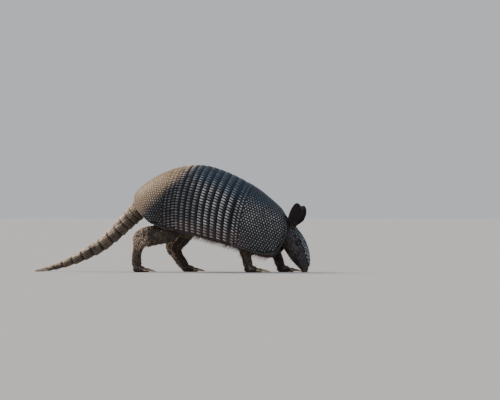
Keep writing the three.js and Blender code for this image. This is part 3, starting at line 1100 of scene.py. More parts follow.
SHELL_SECTIONS = (
    Section((222.5, 107.2), (213, 41), 38, 12, 8),
    Section((213.4, 122.4), (204, 34.5), 47, 6, 8),
    Section((196, 138.3), (184, 34), 56, 2, 8),
    Section((173, 157), (155, 41.5), 62.3, -3, 6),
    Section((148.7, 171.6), (123.4, 52.4), 66.8, -5, 6),
    Section((111.3, 189.6), (87, 61.9), 70.6, -6.5, 5),
    Section((74.4, 201.3), (51.5, 71.8), 73.3, -6.5, 5),
    Section((39.3, 202.7), (21.7, 78.7), 74.5, -6.5, 7),
    Section((5, 194.7), (2, 81), 73.8, -5, 10),
    Section((-26, 181.1), (-11, 86.2), 70.5, -3.5, 10),
    Section((-49.5, 165), (-20.5, 89.7), 65, -2, 8),
    Section((-64.5, 148.7), (-27.5, 91.8), 58, -0.5, 5),
    Section((-66.5, 129), (-32, 94), 51, 0.3, 2),
)
SHELL_END = float(len(SHELL_SECTIONS) - 1)
shell_form = LoftedForm(SHELL_SECTIONS, SHELL_EDGE, SHELL_BLEND)


# ---- Shell ----

Profile = Sequence[tuple[float, float, float]]  # share of the way back, millimetres further, height


@dataclass
class ShellPlate:
    """One curved plate of the shell, with rolled edges, from a profile swept round the body."""

    node: str
    start: float
    end: float
    profile: Profile
    columns: int = 190
    corner: float = 0.02  # how much shorter the plate is at its lower edges
    rounded: float = math.radians(4)
    middle: float = -1.7  # the height that the rounded edges close on

    def build(self) -> bpy.types.Object:
        """Sweeps the profile from one lower edge over the ridge to the other.

        Returns:
            The plate, with rise and tone for its finish.
        """
        turn = np.linspace(-1, 1, self.columns)
        crowd = math.pi / 2 * 0.985  # brings the columns together towards both edges
        angle = np.sin(turn * crowd) / math.sin(crowd) * SHELL_EDGE
        middle = (self.start + self.end) / 2
        span = shell_form.place(np.array([self.start, self.end]), np.zeros(2))
        per_mm = (self.end - self.start) / np.linalg.norm(span[0] - span[1])
        share, extra, height = (np.array(column)[:, None] for column in zip(*self.profile, strict=True))
        station = self.start + (self.end - self.start) * share + extra * per_mm
        near_edge = np.clip((np.abs(angle) - SHELL_EDGE + self.rounded) / self.rounded, 0, 0.999)
        round_off = np.sqrt(1 - near_edge**2)[None]
        squeeze = 1 - self.corner * (1 - round_off)
        station = middle + (station - middle) * squeeze
        lifted = self.middle + (height - self.middle) * round_off
        points = shell_form.raised(station, np.broadcast_to(angle[None], station.shape), lifted)
        rows, columns = station.shape
        faces = strips(rows, columns, round_rows=True)
        faces.append(tuple(i * columns for i in range(rows)))
        faces.append(tuple((i + 1) * columns - 1 for i in reversed(range(rows))))
        piece = Bench.cast(self.node + "_plate", points.reshape(-1, 3), faces)
        top = (height - height.min()) / np.ptp(height)
        rise = np.broadcast_to(top * 0.6, station.shape).ravel()
        paint_numbers(piece.data, rise=rise, tone=np.full(rows * columns, 0.35))
        return piece


LOWER_RIM, END_RIM = 1.45, 1.15  # how stretched the scales along a shield's lower edges and free end are
LOWER_RIM_APART, END_RIM_APART = 5.6, 4.7
SHIELD_TOP = -0.75  # the ground that the scales stand on, under the shell's outer surface
FRONT_SHIELD_PROFILE = (
    (0, -0.2, -2.4), (0, -0.5, -1.5), (0, 0.1, -0.6), (0, 1.2, SHIELD_TOP),
    *((i / 24, 0, SHIELD_TOP) for i in range(2, 23)),
    (1, -1.4, -0.6), (1, 0.6, -0.45), (1, 1.3, -0.9), (1, 1.2, -1.7), (1, 0, -2.3), (1, -1.5, -3),
    (0.66, 0, -3), (0.33, 0, -3), (0, 1, -3),
)
BAND_PROFILE = (
    (0, -1.4, -3), (0, -1.4, -2.4), (0, 0, -2.0), (0, 1.3, -1.4), (0.22, 0, -0.95), (0.45, 0, -0.8),
    (0.65, 0, -0.7), (0.85, 0, -0.55), (1, -0.8, -0.4), (1, 0.4, -0.35), (1, 1.2, -0.7), (1, 1.4, -1.3),
    (1, 1.0, -1.9), (1, -0.2, -2.3), (1, -1.5, -3), (0.5, 0, -3),
)
BAND_GROUND = (  # the band's surface under its scales: share of the way back, height
    (0, -2.0), (0.1, -1.4), (0.22, -0.95), (0.45, -0.8), (0.65, -0.7), (0.85, -0.55), (1.05, -0.4),
)
BAND_SUNK = 0.35  # how deep a wedge's foot stands in it
REAR_SHIELD_PROFILE = (
    (0, -1.4, -3), (0, -1.4, -2.4), (0, 0, -2.0), (0, 1.6, -1.5), (0, 3.2, SHIELD_TOP - 0.2),
    *((i / 24, 0, SHIELD_TOP) for i in range(2, 23)),
    (1, -2.2, -0.5), (1, -0.9, -0.1), (1, 0.0, -0.35), (1, 0.35, -1.2), (1, 0, -2.3), (1, -1.2, -3),
    (0.66, 0, -3), (0.33, 0, -3),
)


@dataclass
class RosettePattern:
    """Staggered rows of round scales, each ringed by small ones, over a shield."""

    spacing: float
    bar_rows: int
    bar_length: float
    bar_spacing: float = 5.4
    boss: float = 1.75
    tiny: float = 1.1
    margin: float = 2.2
    groove: float = 0.32
    boss_height: float = 1.0
    tiny_height: float = 0.5
    rim_inset: float = 1.9
    # how bright the scales stay under the painted shade on the ridge and at the free end
    ridge_tone: float = 0.5
    end_tone: float = 1.0
    low_tone: float = 0.55  # of the scales along the lower edges

    def lay(self, chart: Chart, rng: np.random.Generator) -> list[Scale]:
        """Places the long scales by the bands, the round ones in rows, then the small ones between.

        Args:
            chart: the shield, laid flat, with its bands' end first.
            rng: the draws that unsettle the rows.

        Returns:
            All scales, the large ones first.
        """
        rim = self._rim(chart)
        spots: list[tuple[float, float, float]] = []
        travel = self.margin + self.bar_length / 2 - 1
        for row in range(self.bar_rows):
            spots += self._row(chart, travel, self.bar_spacing, row % 2 / 2, 2.3 - 0.25 * row)
            travel += self.bar_length
        row, step, apart = 0, self.spacing / 2, self.spacing * math.sqrt(3)
        travel -= (self.bar_length - self.spacing) / 2
        while travel < chart.length:
            spots += self._row(chart, travel, apart, row % 2 / 2, 1.0)
            travel += step
            row += 1
        flat = np.array(spots)
        flat[:, :2] += rng.normal(0, 0.035, (len(flat), 2)) * self.spacing
        flat = flat[chart.covers(flat[:, :2], self.margin)]
        gaps = np.linalg.norm(flat[:, None, :2] - rim[None, :, :2], axis=-1).min(1)
        flat = np.concatenate([rim, flat[gaps > 0.74 * self.spacing]])
        tones = self._tones(chart, flat[:, :2], rng, 0.72, 0.13)
        bosses = []
        for (x, y, stretch), tone in zip(flat.tolist(), tones, strict=True):
            radius = self.boss * (1 + rng.normal(0, 0.05))
            height = self.boss_height * rng.uniform(0.85, 1.1)
            tone *= self.low_tone if stretch == LOWER_RIM else 1.0
            bosses.append(Scale((x, y), radius, stretch, height, tone))
        return bosses + self._fill(chart, bosses, rng)

    def _rim(self, chart: Chart) -> Array:
        """Lays a row of larger scales along the free end and the lower edges.

        Args:
            chart: the shield.

        Returns:
            The travel, span and stretch of each.
        """
        turn = np.linspace(-chart.edge, chart.edge, 800)
        reach = np.interp(turn, chart.angles, chart.reach) - self.rim_inset
        nearest = np.clip(np.searchsorted(chart.travels, reach), 0, len(chart.arcs) - 1)
        arcs = chart.arcs[nearest]
        span = np.array([np.interp(angle, arc, chart.spans) for angle, arc in zip(turn, arcs, strict=True)])
        rows = [np.column_stack([reach, span, np.full(len(turn), END_RIM)])]
        travel = np.linspace(self.margin, reach[0] - 3, 400)
        for sign in (-1, 1):
            side = sign * (chart.half_span(travel) - self.rim_inset)
            rows.append(np.column_stack([travel, side, np.full(len(travel), LOWER_RIM)]))
        kept: list[Array] = []
        for row, apart in zip(rows, (END_RIM_APART, LOWER_RIM_APART, LOWER_RIM_APART), strict=True):
            run = np.concatenate([[0], np.cumsum(np.linalg.norm(np.diff(row[:, :2], axis=0), axis=1))])
            count = int(run[-1] / apart)
            evenly = (np.arange(count) + 0.5) * run[-1] / count
            kept.append(np.column_stack([np.interp(evenly, run, column) for column in row.T]))
        return np.concatenate(kept)

    def _row(self, chart: Chart, travel: float, apart: float, offset: float, stretch: float) -> list[tuple]:
        """One row of scales round the body, alike on both sides of the ridge.

        Args:
            chart: the shield.
            travel: where the row lies.
            apart: how far apart its scales are.
            offset: how far the row is shifted, as a share of that.
            stretch: how long the scales are.

        Returns:
            The travel, span and stretch of each.
        """
        half, start = float(chart.half_span(travel)), chart.square_span(travel) + offset * apart
        spans = np.arange(start % apart, half, apart)
        spans = spans[spans > 0.25 * apart]
        ridge = [0.0] if spans[0] > 0.8 * apart else []
        return [(travel, span, stretch) for span in (*spans, *-spans, *ridge)]

    def _tones(self, chart: Chart, flat: Array, rng: np.random.Generator,
               mean: float, spread: float) -> list[float]:
        """How pale each scale is, with painted shade that dulls it towards the ridge and, on some shields,
        the free end.

        Args:
            chart: the shield.
            flat: where the scales lie.
            rng: the draws.
            mean: their tone low on the flank.
            spread: how much it varies.

        Returns:
            A tone for each.
        """
        station, angle = chart.unfold(flat)
        # painted shade dulls the scales towards the ridge and at the free end
        paler = self.ridge_tone + (1 - self.ridge_tone) * smooth_step(0.25, 0.95, np.abs(angle))
        inward = np.abs(station - chart.end) / SCAPULAR_END
        paler *= self.end_tone + (1 - self.end_tone) * smooth_step(0.02, 0.3, inward)
        return np.clip(rng.normal(mean, spread, len(flat)) * paler, 0.04, 1.1).tolist()

    def _fill(self, chart: Chart, bosses: list[Scale], rng: np.random.Generator) -> list[Scale]:
        """Lays the small scales: one between each two neighbours and one between each three.

        Args:
            chart: where they lie.
            bosses: the large scales.
            rng: the draws for place, height and tone.

        Returns:
            The small scales.
        """
        _, edges, faces, *_ = delaunay_2d_cdt([Vector(b.at) for b in bosses], [], [], 0, 1e-5)
        flat = np.array([b.at for b in bosses])
        longest = 1.5 * max(self.spacing, self.bar_length)
        groups = [list(g) for g in (*edges, *faces)]
        spots = np.array([flat[g].mean(0) for g in groups if np.ptp(flat[g], axis=0).max() < longest])
        spots += rng.normal(0, 0.03 * self.spacing, spots.shape)
        spots = spots[chart.covers(spots, self.margin * 0.45)]
        tones = self._tones(chart, spots, rng, 0.085, 0.04)
        return [
            Scale((x, y), self.tiny, 1.0, self.tiny_height * rng.uniform(0.7, 1.1), tone)
            for (x, y), tone in zip(spots.tolist(), tones, strict=True)
        ]

    def build(self, name: str, chart: Chart, base: float, rng: np.random.Generator) -> bpy.types.Object:
        """Makes all scales of a shield as one piece.

        Args:
            name: the piece's name.
            chart: the shield, laid flat.
            base: the height of the ground under the scales.
            rng: the draws that unsettle them.

        Returns:
            The piece.
        """
        layer = Layer(chart.lift, self.groove)
        least = (self.boss + self.tiny) / 2
        layer.add(self.lay(chart, rng), lambda s: ROUND_DOME if s.radius > least else FLAT_DOME, base)
        return layer.piece(name)


class Template:
    """A small shape modelled once, to be laid many times over a surface."""

    def __init__(self, piece: bpy.types.Object) -> None:
        """Reads the shape, then removes its piece.

        Args:
            piece: the shape, modelled about the origin.
        """
        self.points = vertices_of(piece)
        self.faces = [tuple(f.vertices) for f in piece.data.polygons]
        floor = self.points[:, 2].min()
        self.rise = (self.points[:, 2] - floor) / np.ptp(self.points[:, 2])
        self.bottom = next(i for i, f in enumerate(piece.data.polygons) if f.normal.z < -0.9)
        mesh = piece.data
        bpy.data.objects.remove(piece)
        bpy.data.meshes.remove(mesh)


@dataclass
class BandScale:
    """A wedge on a band: its widths and heights in front and at the rear, with soft edges."""

    length: float
    front: float
    rear: float
    front_height: float
    rear_height: float
    soften: float = 0.45

    def template(self) -> Template:
        """Models the wedge from a cube. X runs back, Y across and Z up.

        Returns:
            The wedge, ready to be laid.
        """
        piece = Bench.start(bpy.ops.mesh.primitive_cube_add, size=1)
        with Bench.picked(piece, "VERT", lambda v: True):
            bpy.ops.transform.resize(value=(self.length * MM, self.rear * MM, self.rear_height * MM))
        with Bench.picked(piece, "VERT", lambda v: v.co.x < 0):
            bpy.ops.transform.resize(value=(1, self.front / self.rear, 1))
        half = self.length * MM / 2
        with Bench.picked(piece, "EDGE", lambda e: abs(e.verts[0].co.x - e.verts[1].co.x) > half):
            bpy.ops.mesh.subdivide(number_cuts=2)
        for rise in (0.34, 0.2):
            with Bench.picked(piece, "FACE", lambda f: f.normal.z > 0.9):
                bpy.ops.mesh.inset(thickness=self.soften * MM, depth=0.0)
                bpy.ops.transform.translate(value=(0, 0, self.rear_height * rise * MM))
        places = vertices_of(piece)
        along = places[:, 0] / self.length + 0.5
        low = -self.rear_height / 2
        slope = self.front_height / self.rear_height
        tip = np.where(places[:, 2] > 0, slope + (1 - slope) * np.minimum(along / 0.85, 1), 1.0)
        places[:, 2] = low + (places[:, 2] - low) * tip
        move_vertices(piece, places)
        return Template(piece)


@dataclass
class Band:
    """One band: its plate, a row of long wedges and a row of short ones set between them."""

    number: int
    pitch: float = 5.3
    margin: float = 3.2
    main_reach: tuple[float, float] = (0.13, 1.04)  # where the long wedges begin and end on the band
    minor_reach: tuple[float, float] = (0.14, 0.72)

    @property
    def node(self) -> str:
        """The frame's node."""
        return f"band_{self.number}"

    def build(self, main: Template, minor: Template, rng: np.random.Generator) -> list[bpy.types.Object]:
        """Makes the plate and the scales.

        Args:
            main: the long wedge.
            minor: the short wedge between two long ones.
            rng: the draws for tone and size.

        Returns:
            The plate, then the scales.
        """
        start = SCAPULAR_END + (self.number - 1) * BAND_PITCH
        plate = ShellPlate(self.node, start, start + BAND_PITCH, BAND_PROFILE, 200, corner=0.12).build()
        chart = Chart(shell_form, start, start + BAND_PITCH, SHELL_EDGE)
        half = float(chart.half_spans[len(chart.half_spans) // 2]) - self.margin
        count = int(2 * half / self.pitch)
        pitch = 2 * half / count
        gathered = Gathering()
        for i in range(count):
            span = -half + (i + 0.5) * pitch
            # painted shade dulls the wedges on the back
            tone = rng.normal(0.84, 0.19) * self._ridge_shade(span / half)
            self._lay(chart, main, span, self.main_reach, rng, gathered, tone)
        for i in range(1, count):
            span = -half + i * pitch
            tone = rng.normal(0.13, 0.05) * self._ridge_shade(span / half)
            self._lay(chart, minor, span, self.minor_reach, rng, gathered, tone)
        return [plate, gathered.piece(self.node + "_scales")]

    def _ridge_shade(self, share: float) -> float:
        """How much the back is darkened against the sides as painted shade, by the share of the way down; not
        on the last bands.
        """
        ridge = 0.55 + 0.65 * smooth_step(6.5, 8.5, self.number)
        return float(ridge + (1 - ridge) * smooth_step(0.12, 0.45, abs(share)))

    @staticmethod
    def _lay(chart: Chart, shape: Template, span: float, reach: tuple[float, float],
             rng: np.random.Generator, into: Gathering, tone: float) -> None:
        """Lays one wedge.

        Args:
            chart: the band.
            shape: the wedge.
            span: where it lies across the band.
            reach: where it begins and ends, as shares of the band's length.
            rng: the draws that unsettle it.
            into: what it is added to.
            tone: how pale it is.
        """
        spans = np.linspace(-chart.widest, chart.widest, len(chart.reach))
        length = float(np.interp(span, spans, chart.reach))
        size = 1 + rng.normal(0, 0.05)
        along = (shape.points[:, 0] - shape.points[:, 0].min()) / np.ptp(shape.points[:, 0])
        travel = length * (reach[0] + (reach[1] - reach[0]) * along) + rng.normal(0, 0.12)
        across = span + shape.points[:, 1] * size + rng.normal(0, 0.1)
        ground = np.interp(travel / length, *zip(*BAND_GROUND, strict=True))
        height = ground + shape.points[:, 2] - shape.points[:, 2].min() - BAND_SUNK
        station = chart.start + (chart.end - chart.start) * travel / length
        flat = np.stack([np.clip(travel, 0, length), across], -1)
        _, angle = chart.unfold(flat)
        points = shell_form.raised(station, angle, height)
        patch = np.stack([travel, across], -1)
        # paler towards the wedge's rear: partly the horn's own pattern, partly a painted highlight
        rise = np.clip((height - ground) / 0.9, 0, 1) * (0.3 + 0.7 * smooth_step(0.08, 0.66, along))
        into.add(points, shape.faces, rise, tone, patch, shape.bottom)


@dataclass
class Shell:
    """Front shield, nine bands and rear shield."""

    plate_finish: ScaleFinish = ScaleFinish(
        "shell_ground", (0.011, 0.011, 0.013), (0.05, 0.047, 0.047), (0.034, 0.03, 0.028), 0.7, 0.66,
        gloss=0.15, zoned=True
    )
    scale_finish: ScaleFinish = ScaleFinish(
        "shell_horn", (0.014, 0.014, 0.017), (0.63, 0.63, 0.65), (0.33, 0.30, 0.27),
        low=0.4, high=1.0, zoned=True
    )
    band_finish: ScaleFinish = ScaleFinish(
        "band_horn", (0.014, 0.014, 0.018), (0.58, 0.58, 0.60), (0.33, 0.30, 0.28),
        roughness=0.44, low=0.4, high=1.0, zoned=True
    )
    # painted shadow dulls the front shield's free end, by the neck
    front_pattern: RosettePattern = field(default_factory=lambda: RosettePattern(
        spacing=5.4, bar_rows=2, bar_length=7.2, end_tone=0.45))
    rear_pattern: RosettePattern = field(default_factory=lambda: RosettePattern(
        spacing=5.5, margin=2.4, bar_rows=3, bar_length=7.6))

    def build(self) -> None:
        """Makes every plate and its scales, and puts them on the frame."""
        finishes = (self.plate_finish, self.scale_finish, self.band_finish)
        ground, horn, band_horn = (finish.material() for finish in finishes)
        rng = np.random.default_rng(SEED)
        front = ShellPlate("scapular_shield", 0.0, SCAPULAR_END, FRONT_SHIELD_PROFILE).build()
        chart = Chart(shell_form, SCAPULAR_END, 0.0, SHELL_EDGE)
        place_piece(front, ground, "shell", "scapular_shield")
        place_piece(self.front_pattern.build("scapular_shield_scales", chart, SHIELD_TOP, rng), horn, "shell")
        main = BandScale(10.4, 2.1, 3.5, 0.65, 1.05, 0.5).template()
        minor = BandScale(6.0, 2.5, 1.4, 0.55, 0.6, 0.3).template()
        for number in range(1, BAND_COUNT + 1):
            plate, scales = Band(number).build(main, minor, rng)
            place_piece(plate, ground, "shell", f"band_{number}")
            place_piece(scales, band_horn, "shell")
        rear = ShellPlate("pelvic_shield", PELVIC_START, SHELL_END, REAR_SHIELD_PROFILE).build()
        place_piece(rear, ground, "shell", "pelvic_shield")
        chart = Chart(shell_form, PELVIC_START, SHELL_END, SHELL_EDGE)
        place_piece(self.rear_pattern.build("pelvic_shield_scales", chart, SHIELD_TOP, rng), horn, "shell")


# ---- Flesh ----

TRUNK_START = 0.75
TRUNK_BACK_SHARE = 0.75  # of each side, the part under the shell
RUMP_DEPTH = 3.0
HEAD_FROM, HEAD_HALF = 192.0, 46.0  # the part of the skin that is tried for the head's folds
SNOUT_FROM = 240.0
FLAT_FOOT = 0.05  # the height of the flattened soles
TAIL_ROOT_HEIGHT = 117.0
THIGH_FOLD = (-18, -43, 79), (17, 8.5, 10.5)  # middle and half sizes of the fold under the shell
HEAD_SECTIONS = (
    Section((194.2, 128), (191.4, 28), 46),
    Section((208, 111.5), (203, 32), 37),
    Section((220.5, 102.8), (210, 41), 29.5),
    Section((230.5, 103.4), (213.5, 47), 24.5),
    Section((242, 85), (215.5, 49), 22.5),
    Section((252.2, 72.2), (219, 44.5), 21.5),
    Section((260, 59), (224.5, 36), 20.8),
    Section((265, 45.2), (230.5, 27), 18),
    Section((267.8, 32.3), (238, 18), 13.2),
    Section((268.4, 20), (247, 8.5), 9.8),
    Section((266.5, 8), (252.5, 2.5), 7.8),
    Section((263.2, -3), (254.5, -4.5), 6.8),
)
head_form = LoftedForm(HEAD_SECTIONS, math.pi, 2.15)


class Side(Enum):
    """The animal's two sides, by the sign of Y."""

    RIGHT = -1
    LEFT = 1


@dataclass(frozen=True)
class Eye:
    """Where an eye sits on the head, and its size."""

    station: float = 5.8
    angle: float = math.radians(64)
    radius: float = 3.4
    sunk: float = 1.9
    opening: tuple[float, float] = (2.75, 1.95)  # half the length and half the height between the lids

    def over(self, side: Side, height: float) -> Array:
        """The point this high over the head where one eye is."""
        return head_form.raised(np.array([self.station]), np.array([side.value * self.angle]), height)[0]

    def at(self, side: Side) -> Array:
        """The middle of one eye."""
        return self.over(side, -self.sunk)

    def axis(self, side: Side) -> Array:
        """The way it looks."""
        return self.over(side, 1.0) - self.over(side, 0.0)


EYE = Eye()


@dataclass(frozen=True)
class Ear:
    """An ear: a cupped leaf that is rolled to a stalk at its root."""

    root: tuple[float, float, float]
    axis: tuple[float, float, float]
    open: tuple[float, float, float]
    length: float
    thickness: float = 2.0
    stalk: float = 9.0
    leaf: float = 16.6
    tip: float = 4.3
    widest: float = 0.42
    root_roll: float = 1.5
    tip_roll: float = 0.55

    def volume(self, rows: int = 44, columns: int = 30) -> bpy.types.Object:
        """The ear as a closed sheet, with a soft edge all round.

        Args:
            rows: how many rows of points run from root to tip.
            columns: how many points cross each face.

        Returns:
            The ear.
        """
        along = unit(np.array(self.axis, float))
        facing = np.array(self.open, float)
        facing = unit(facing - along * (facing @ along))
        across = np.cross(along, facing)
        rise = np.linspace(0, 1, rows)[:, None]
        turn = np.sin(np.linspace(-math.pi / 2, math.pi / 2, columns))[None]
        to_leaf = smooth_step(0.08, self.widest, rise)
        to_tip = np.maximum(rise - self.widest, 0) / (1 - self.widest)
        leaf = self.stalk + (self.leaf - self.stalk) * to_leaf
        half = np.maximum(leaf * np.sqrt(1 - to_tip**2), self.tip)
        roll = self.root_roll + (self.tip_roll - self.root_roll) * to_leaf
        edge = np.sqrt(np.clip(1 - np.abs(turn) ** 6, 0.12, 1)) * np.sqrt(np.clip((1 - rise) * 9, 0.15, 1))
        sheets = []
        for face in (1, -1):
            radius = half / roll - face * self.thickness / 2 * edge
            bend = turn * roll
            sheets.append(
                np.array(self.root) + along * (self.length * rise)[..., None]
                + across * (radius * np.sin(bend))[..., None]
                + facing * (half / roll - radius * np.cos(bend))[..., None]
            )
        points = np.concatenate([sheets[0], sheets[1][:, ::-1]], 1).reshape(-1, 3)
        around = 2 * columns
        faces = strips(rows, around, round_columns=True)
        faces.append(tuple(range(around)))
        faces.append(tuple(range((rows - 1) * around, rows * around))[::-1])
        return Bench.cast("ear", points, faces)


EARS = {
    "ear_right": Ear((234, -11.5, 88), (11.9, -13, 38), (0.75, -0.75, -0.2), 48.2),
    "ear_left": Ear((233.5, 11.5, 88), (19.3, 13, 36.5), (0.5, 0.87, -0.3), 45.6),
}


Joints = Sequence[tuple[Sequence[float], Sequence[float]]]


class LimbForm(Form):
    """A leg: round its own axis, with its own reach ahead, behind and to the sides."""

    step = 0.004

    def __init__(self, joints: Joints, inset: float = 0.0, turn: float = 0.0) -> None:
        """Keeps the tracks through the joints.

        Args:
            joints: each joint's place, and its reach ahead, behind and to the side.
            inset: how far inside that reach the surface lies.
            turn: how far round from the front angle 0 lies.
        """
        self.turn = turn
        self.axis = Track(np.array([at for at, _ in joints], float), extended=True)
        self.size = Track(np.array([size for _, size in joints], float) - inset, extended=True)

    def place(self, s: Array, a: Array) -> Array:
        """Finds points of the surface.

        Args:
            s: their shares of the leg, from its root.
            a: their angles.

        Returns:
            The points.
        """
        s, a = paired(s, np.asarray(a) + self.turn)
        tangent = unit(self.axis.at(s + 0.001) - self.axis.at(s - 0.001))
        side = sideways(tangent)
        ahead = np.cross(tangent, side)
        front, back, half = np.moveaxis(self.size.at(s), -1, 0)
        depth = np.where(np.cos(a) > 0, front, back)
        return (self.axis.at(s) + ahead * (depth * np.cos(a))[..., None]
                + side * (half * np.sin(a))[..., None])

    def centre(self, s: Array) -> Array:
        """The axis."""
        return self.axis.at(np.asarray(s, float))

    def volume(self, rings: int = 70, sides: int = 44) -> bpy.types.Object:
        """The leg as a closed tube."""
        s, a = np.linspace(0, 1, rings)[:, None], np.linspace(0, 2 * math.pi, sides, endpoint=False)[None]
        points = np.vstack([self.place(s, a).reshape(-1, 3), self.axis.at(np.array([0.0, 1.0]))])
        return Bench.cast("leg", points, lathe_faces(rings, sides))


LEGS = {
    "leg_fore_right": (
        ((150, -33, 62), (15, 15, 13)), ((151, -36, 42), (12, 12.5, 11.5)), ((153, -36, 27), (9, 9, 9)),
        ((156, -36, 15), (8.5, 9, 9.5)), ((160, -36, 6), (6, 5, 7)),
    ),
    "leg_fore_left": (
        ((186, 28, 62), (12, 12, 11)), ((195, 32, 46), (11, 12, 11)), ((202.5, 34, 30), (9, 9.5, 9)),
        ((207, 34.5, 16), (8.5, 9, 9.5)), ((212, 35, 6), (6, 5, 7)),
    ),
    "leg_hind_right": (
        ((22, -37, 86), (15, 17, 15)), ((4, -42, 73), (17, 16, 16)), ((-14, -43.5, 68.5), (16, 16, 16)),
        ((-31, -44.5, 66.5), (17.5, 21, 14)), ((-46.5, -45, 61.5), (18, 17.8, 11.5)),
        ((-53, -45, 46), (10, 9.5, 9)), ((-56, -45, 30), (8.8, 8.8, 8.7)),
        ((-55.6, -45, 15), (9.2, 8.8, 9.7)), ((-53, -45, 6), (6, 5, 7)),
    ),
    "leg_hind_left": (
        ((32, 36, 96), (19, 19, 15)), ((25, 41, 77), (18, 17, 14)), ((14, 43.5, 61), (15, 14, 12)),
        ((2.5, 45, 47.5), (15, 16.5, 10.5)), ((8.5, 45, 31), (10.5, 10.5, 9)),
        ((16, 45, 19.5), (10, 10, 9.5)), ((22, 45, 12), (8.5, 8.5, 10)), ((27, 45, 6), (5, 4, 7)),
    ),
}


@dataclass(frozen=True)
class Toe:
    """A toe: how far out it begins, how far ahead it ends, its radius and its claw's length."""

    out: float
    reach: float
    radius: float
    claw: float


class Paw(Enum):
    """The two kinds of foot, by their toes from the inside out."""

    FORE = (Toe(-8.4, 12.5, 3.2, 10), Toe(-3, 18, 3.7, 16.5), Toe(3.2, 17.5, 3.7, 16), Toe(9, 10, 3.1, 9))
    HIND = (Toe(-10.2, 9.5, 3.1, 8), Toe(-5.4, 14.5, 3.5, 11.5), Toe(0, 16.5, 3.8, 13), Toe(5.5, 14, 3.5, 11),
            Toe(10.4, 8.5, 3, 7.5))


TOE_HEIGHT = 4.2
TOE_SPREAD = 1.16
TOE_JOINTS = ((0.1, 1.1), (0.3, 0.98), (0.5, 1.06), (0.7, 0.94), (0.88, 1.08), (1.0, 0.94))  # share, swell
CLAW_ROOT = 0.35
CLAW_RISE, CLAW_DROP, CLAW_FLAT, CLAW_TIP = 0.55, 0.22, 0.62, 0.16


@dataclass(frozen=True)
class Foot:
    """A foot: its pad and toes."""

    pad: tuple[float, float, float]
    half: tuple[float, float, float]
    side: Side
    paw: Paw

    def toes(self) -> list[tuple[Toe, Array, Array]]:
        """Finds where the toes lie.

        Returns:
            Each toe with the places of its root and tip.
        """
        x, y, _ = self.pad
        return [
            (toe, np.array([x, y + self.side.value * toe.out, TOE_HEIGHT]),
             np.array([x + toe.reach, y + self.side.value * toe.out * TOE_SPREAD, TOE_HEIGHT - 0.4]))
            for toe in self.paw.value
        ]

    def volumes(self) -> list[bpy.types.Object]:
        """Makes the pad, and the toes with their joints.

        Returns:
            The volumes, to be cast as one.
        """
        pieces = [ball(self.pad, self.half)]
        for toe, root, tip in self.toes():
            span = tip - root
            for share, swell in TOE_JOINTS:
                radius = toe.radius * swell
                place = root + span * share
                pieces.append(ball(place, (radius * 1.25, radius, radius)))
        return pieces


FEET = {
    "foot_fore_right": Foot((161, -36, 5.6), (13, 11.5, 7.2), Side.RIGHT, Paw.FORE),
    "foot_fore_left": Foot((213.5, 35, 5.6), (13, 11.5, 7.2), Side.LEFT, Paw.FORE),
    "foot_hind_right": Foot((-51.5, -45, 5.6), (12, 13, 7.2), Side.RIGHT, Paw.HIND),
    "foot_hind_left": Foot((29, 45, 5.6), (12.5, 13, 7.2), Side.LEFT, Paw.HIND),
}


def ball(place: Sequence[float], half: Sequence[float], fine: int = 20) -> bpy.types.Object:
    """Makes a ball or an egg.

    Args:
        place: its middle.
        half: its half sizes along the three axes.
        fine: how many sides it has round its upright axis.

    Returns:
        The ball.
    """
    middle = tuple(float(c) * MM for c in place)
    piece = Bench.start(bpy.ops.mesh.primitive_uv_sphere_add,
                        segments=fine, ring_count=fine // 2, radius=MM, location=middle)
    piece.scale = tuple(float(h) for h in half)
    return Bench.settle(piece, "ball")


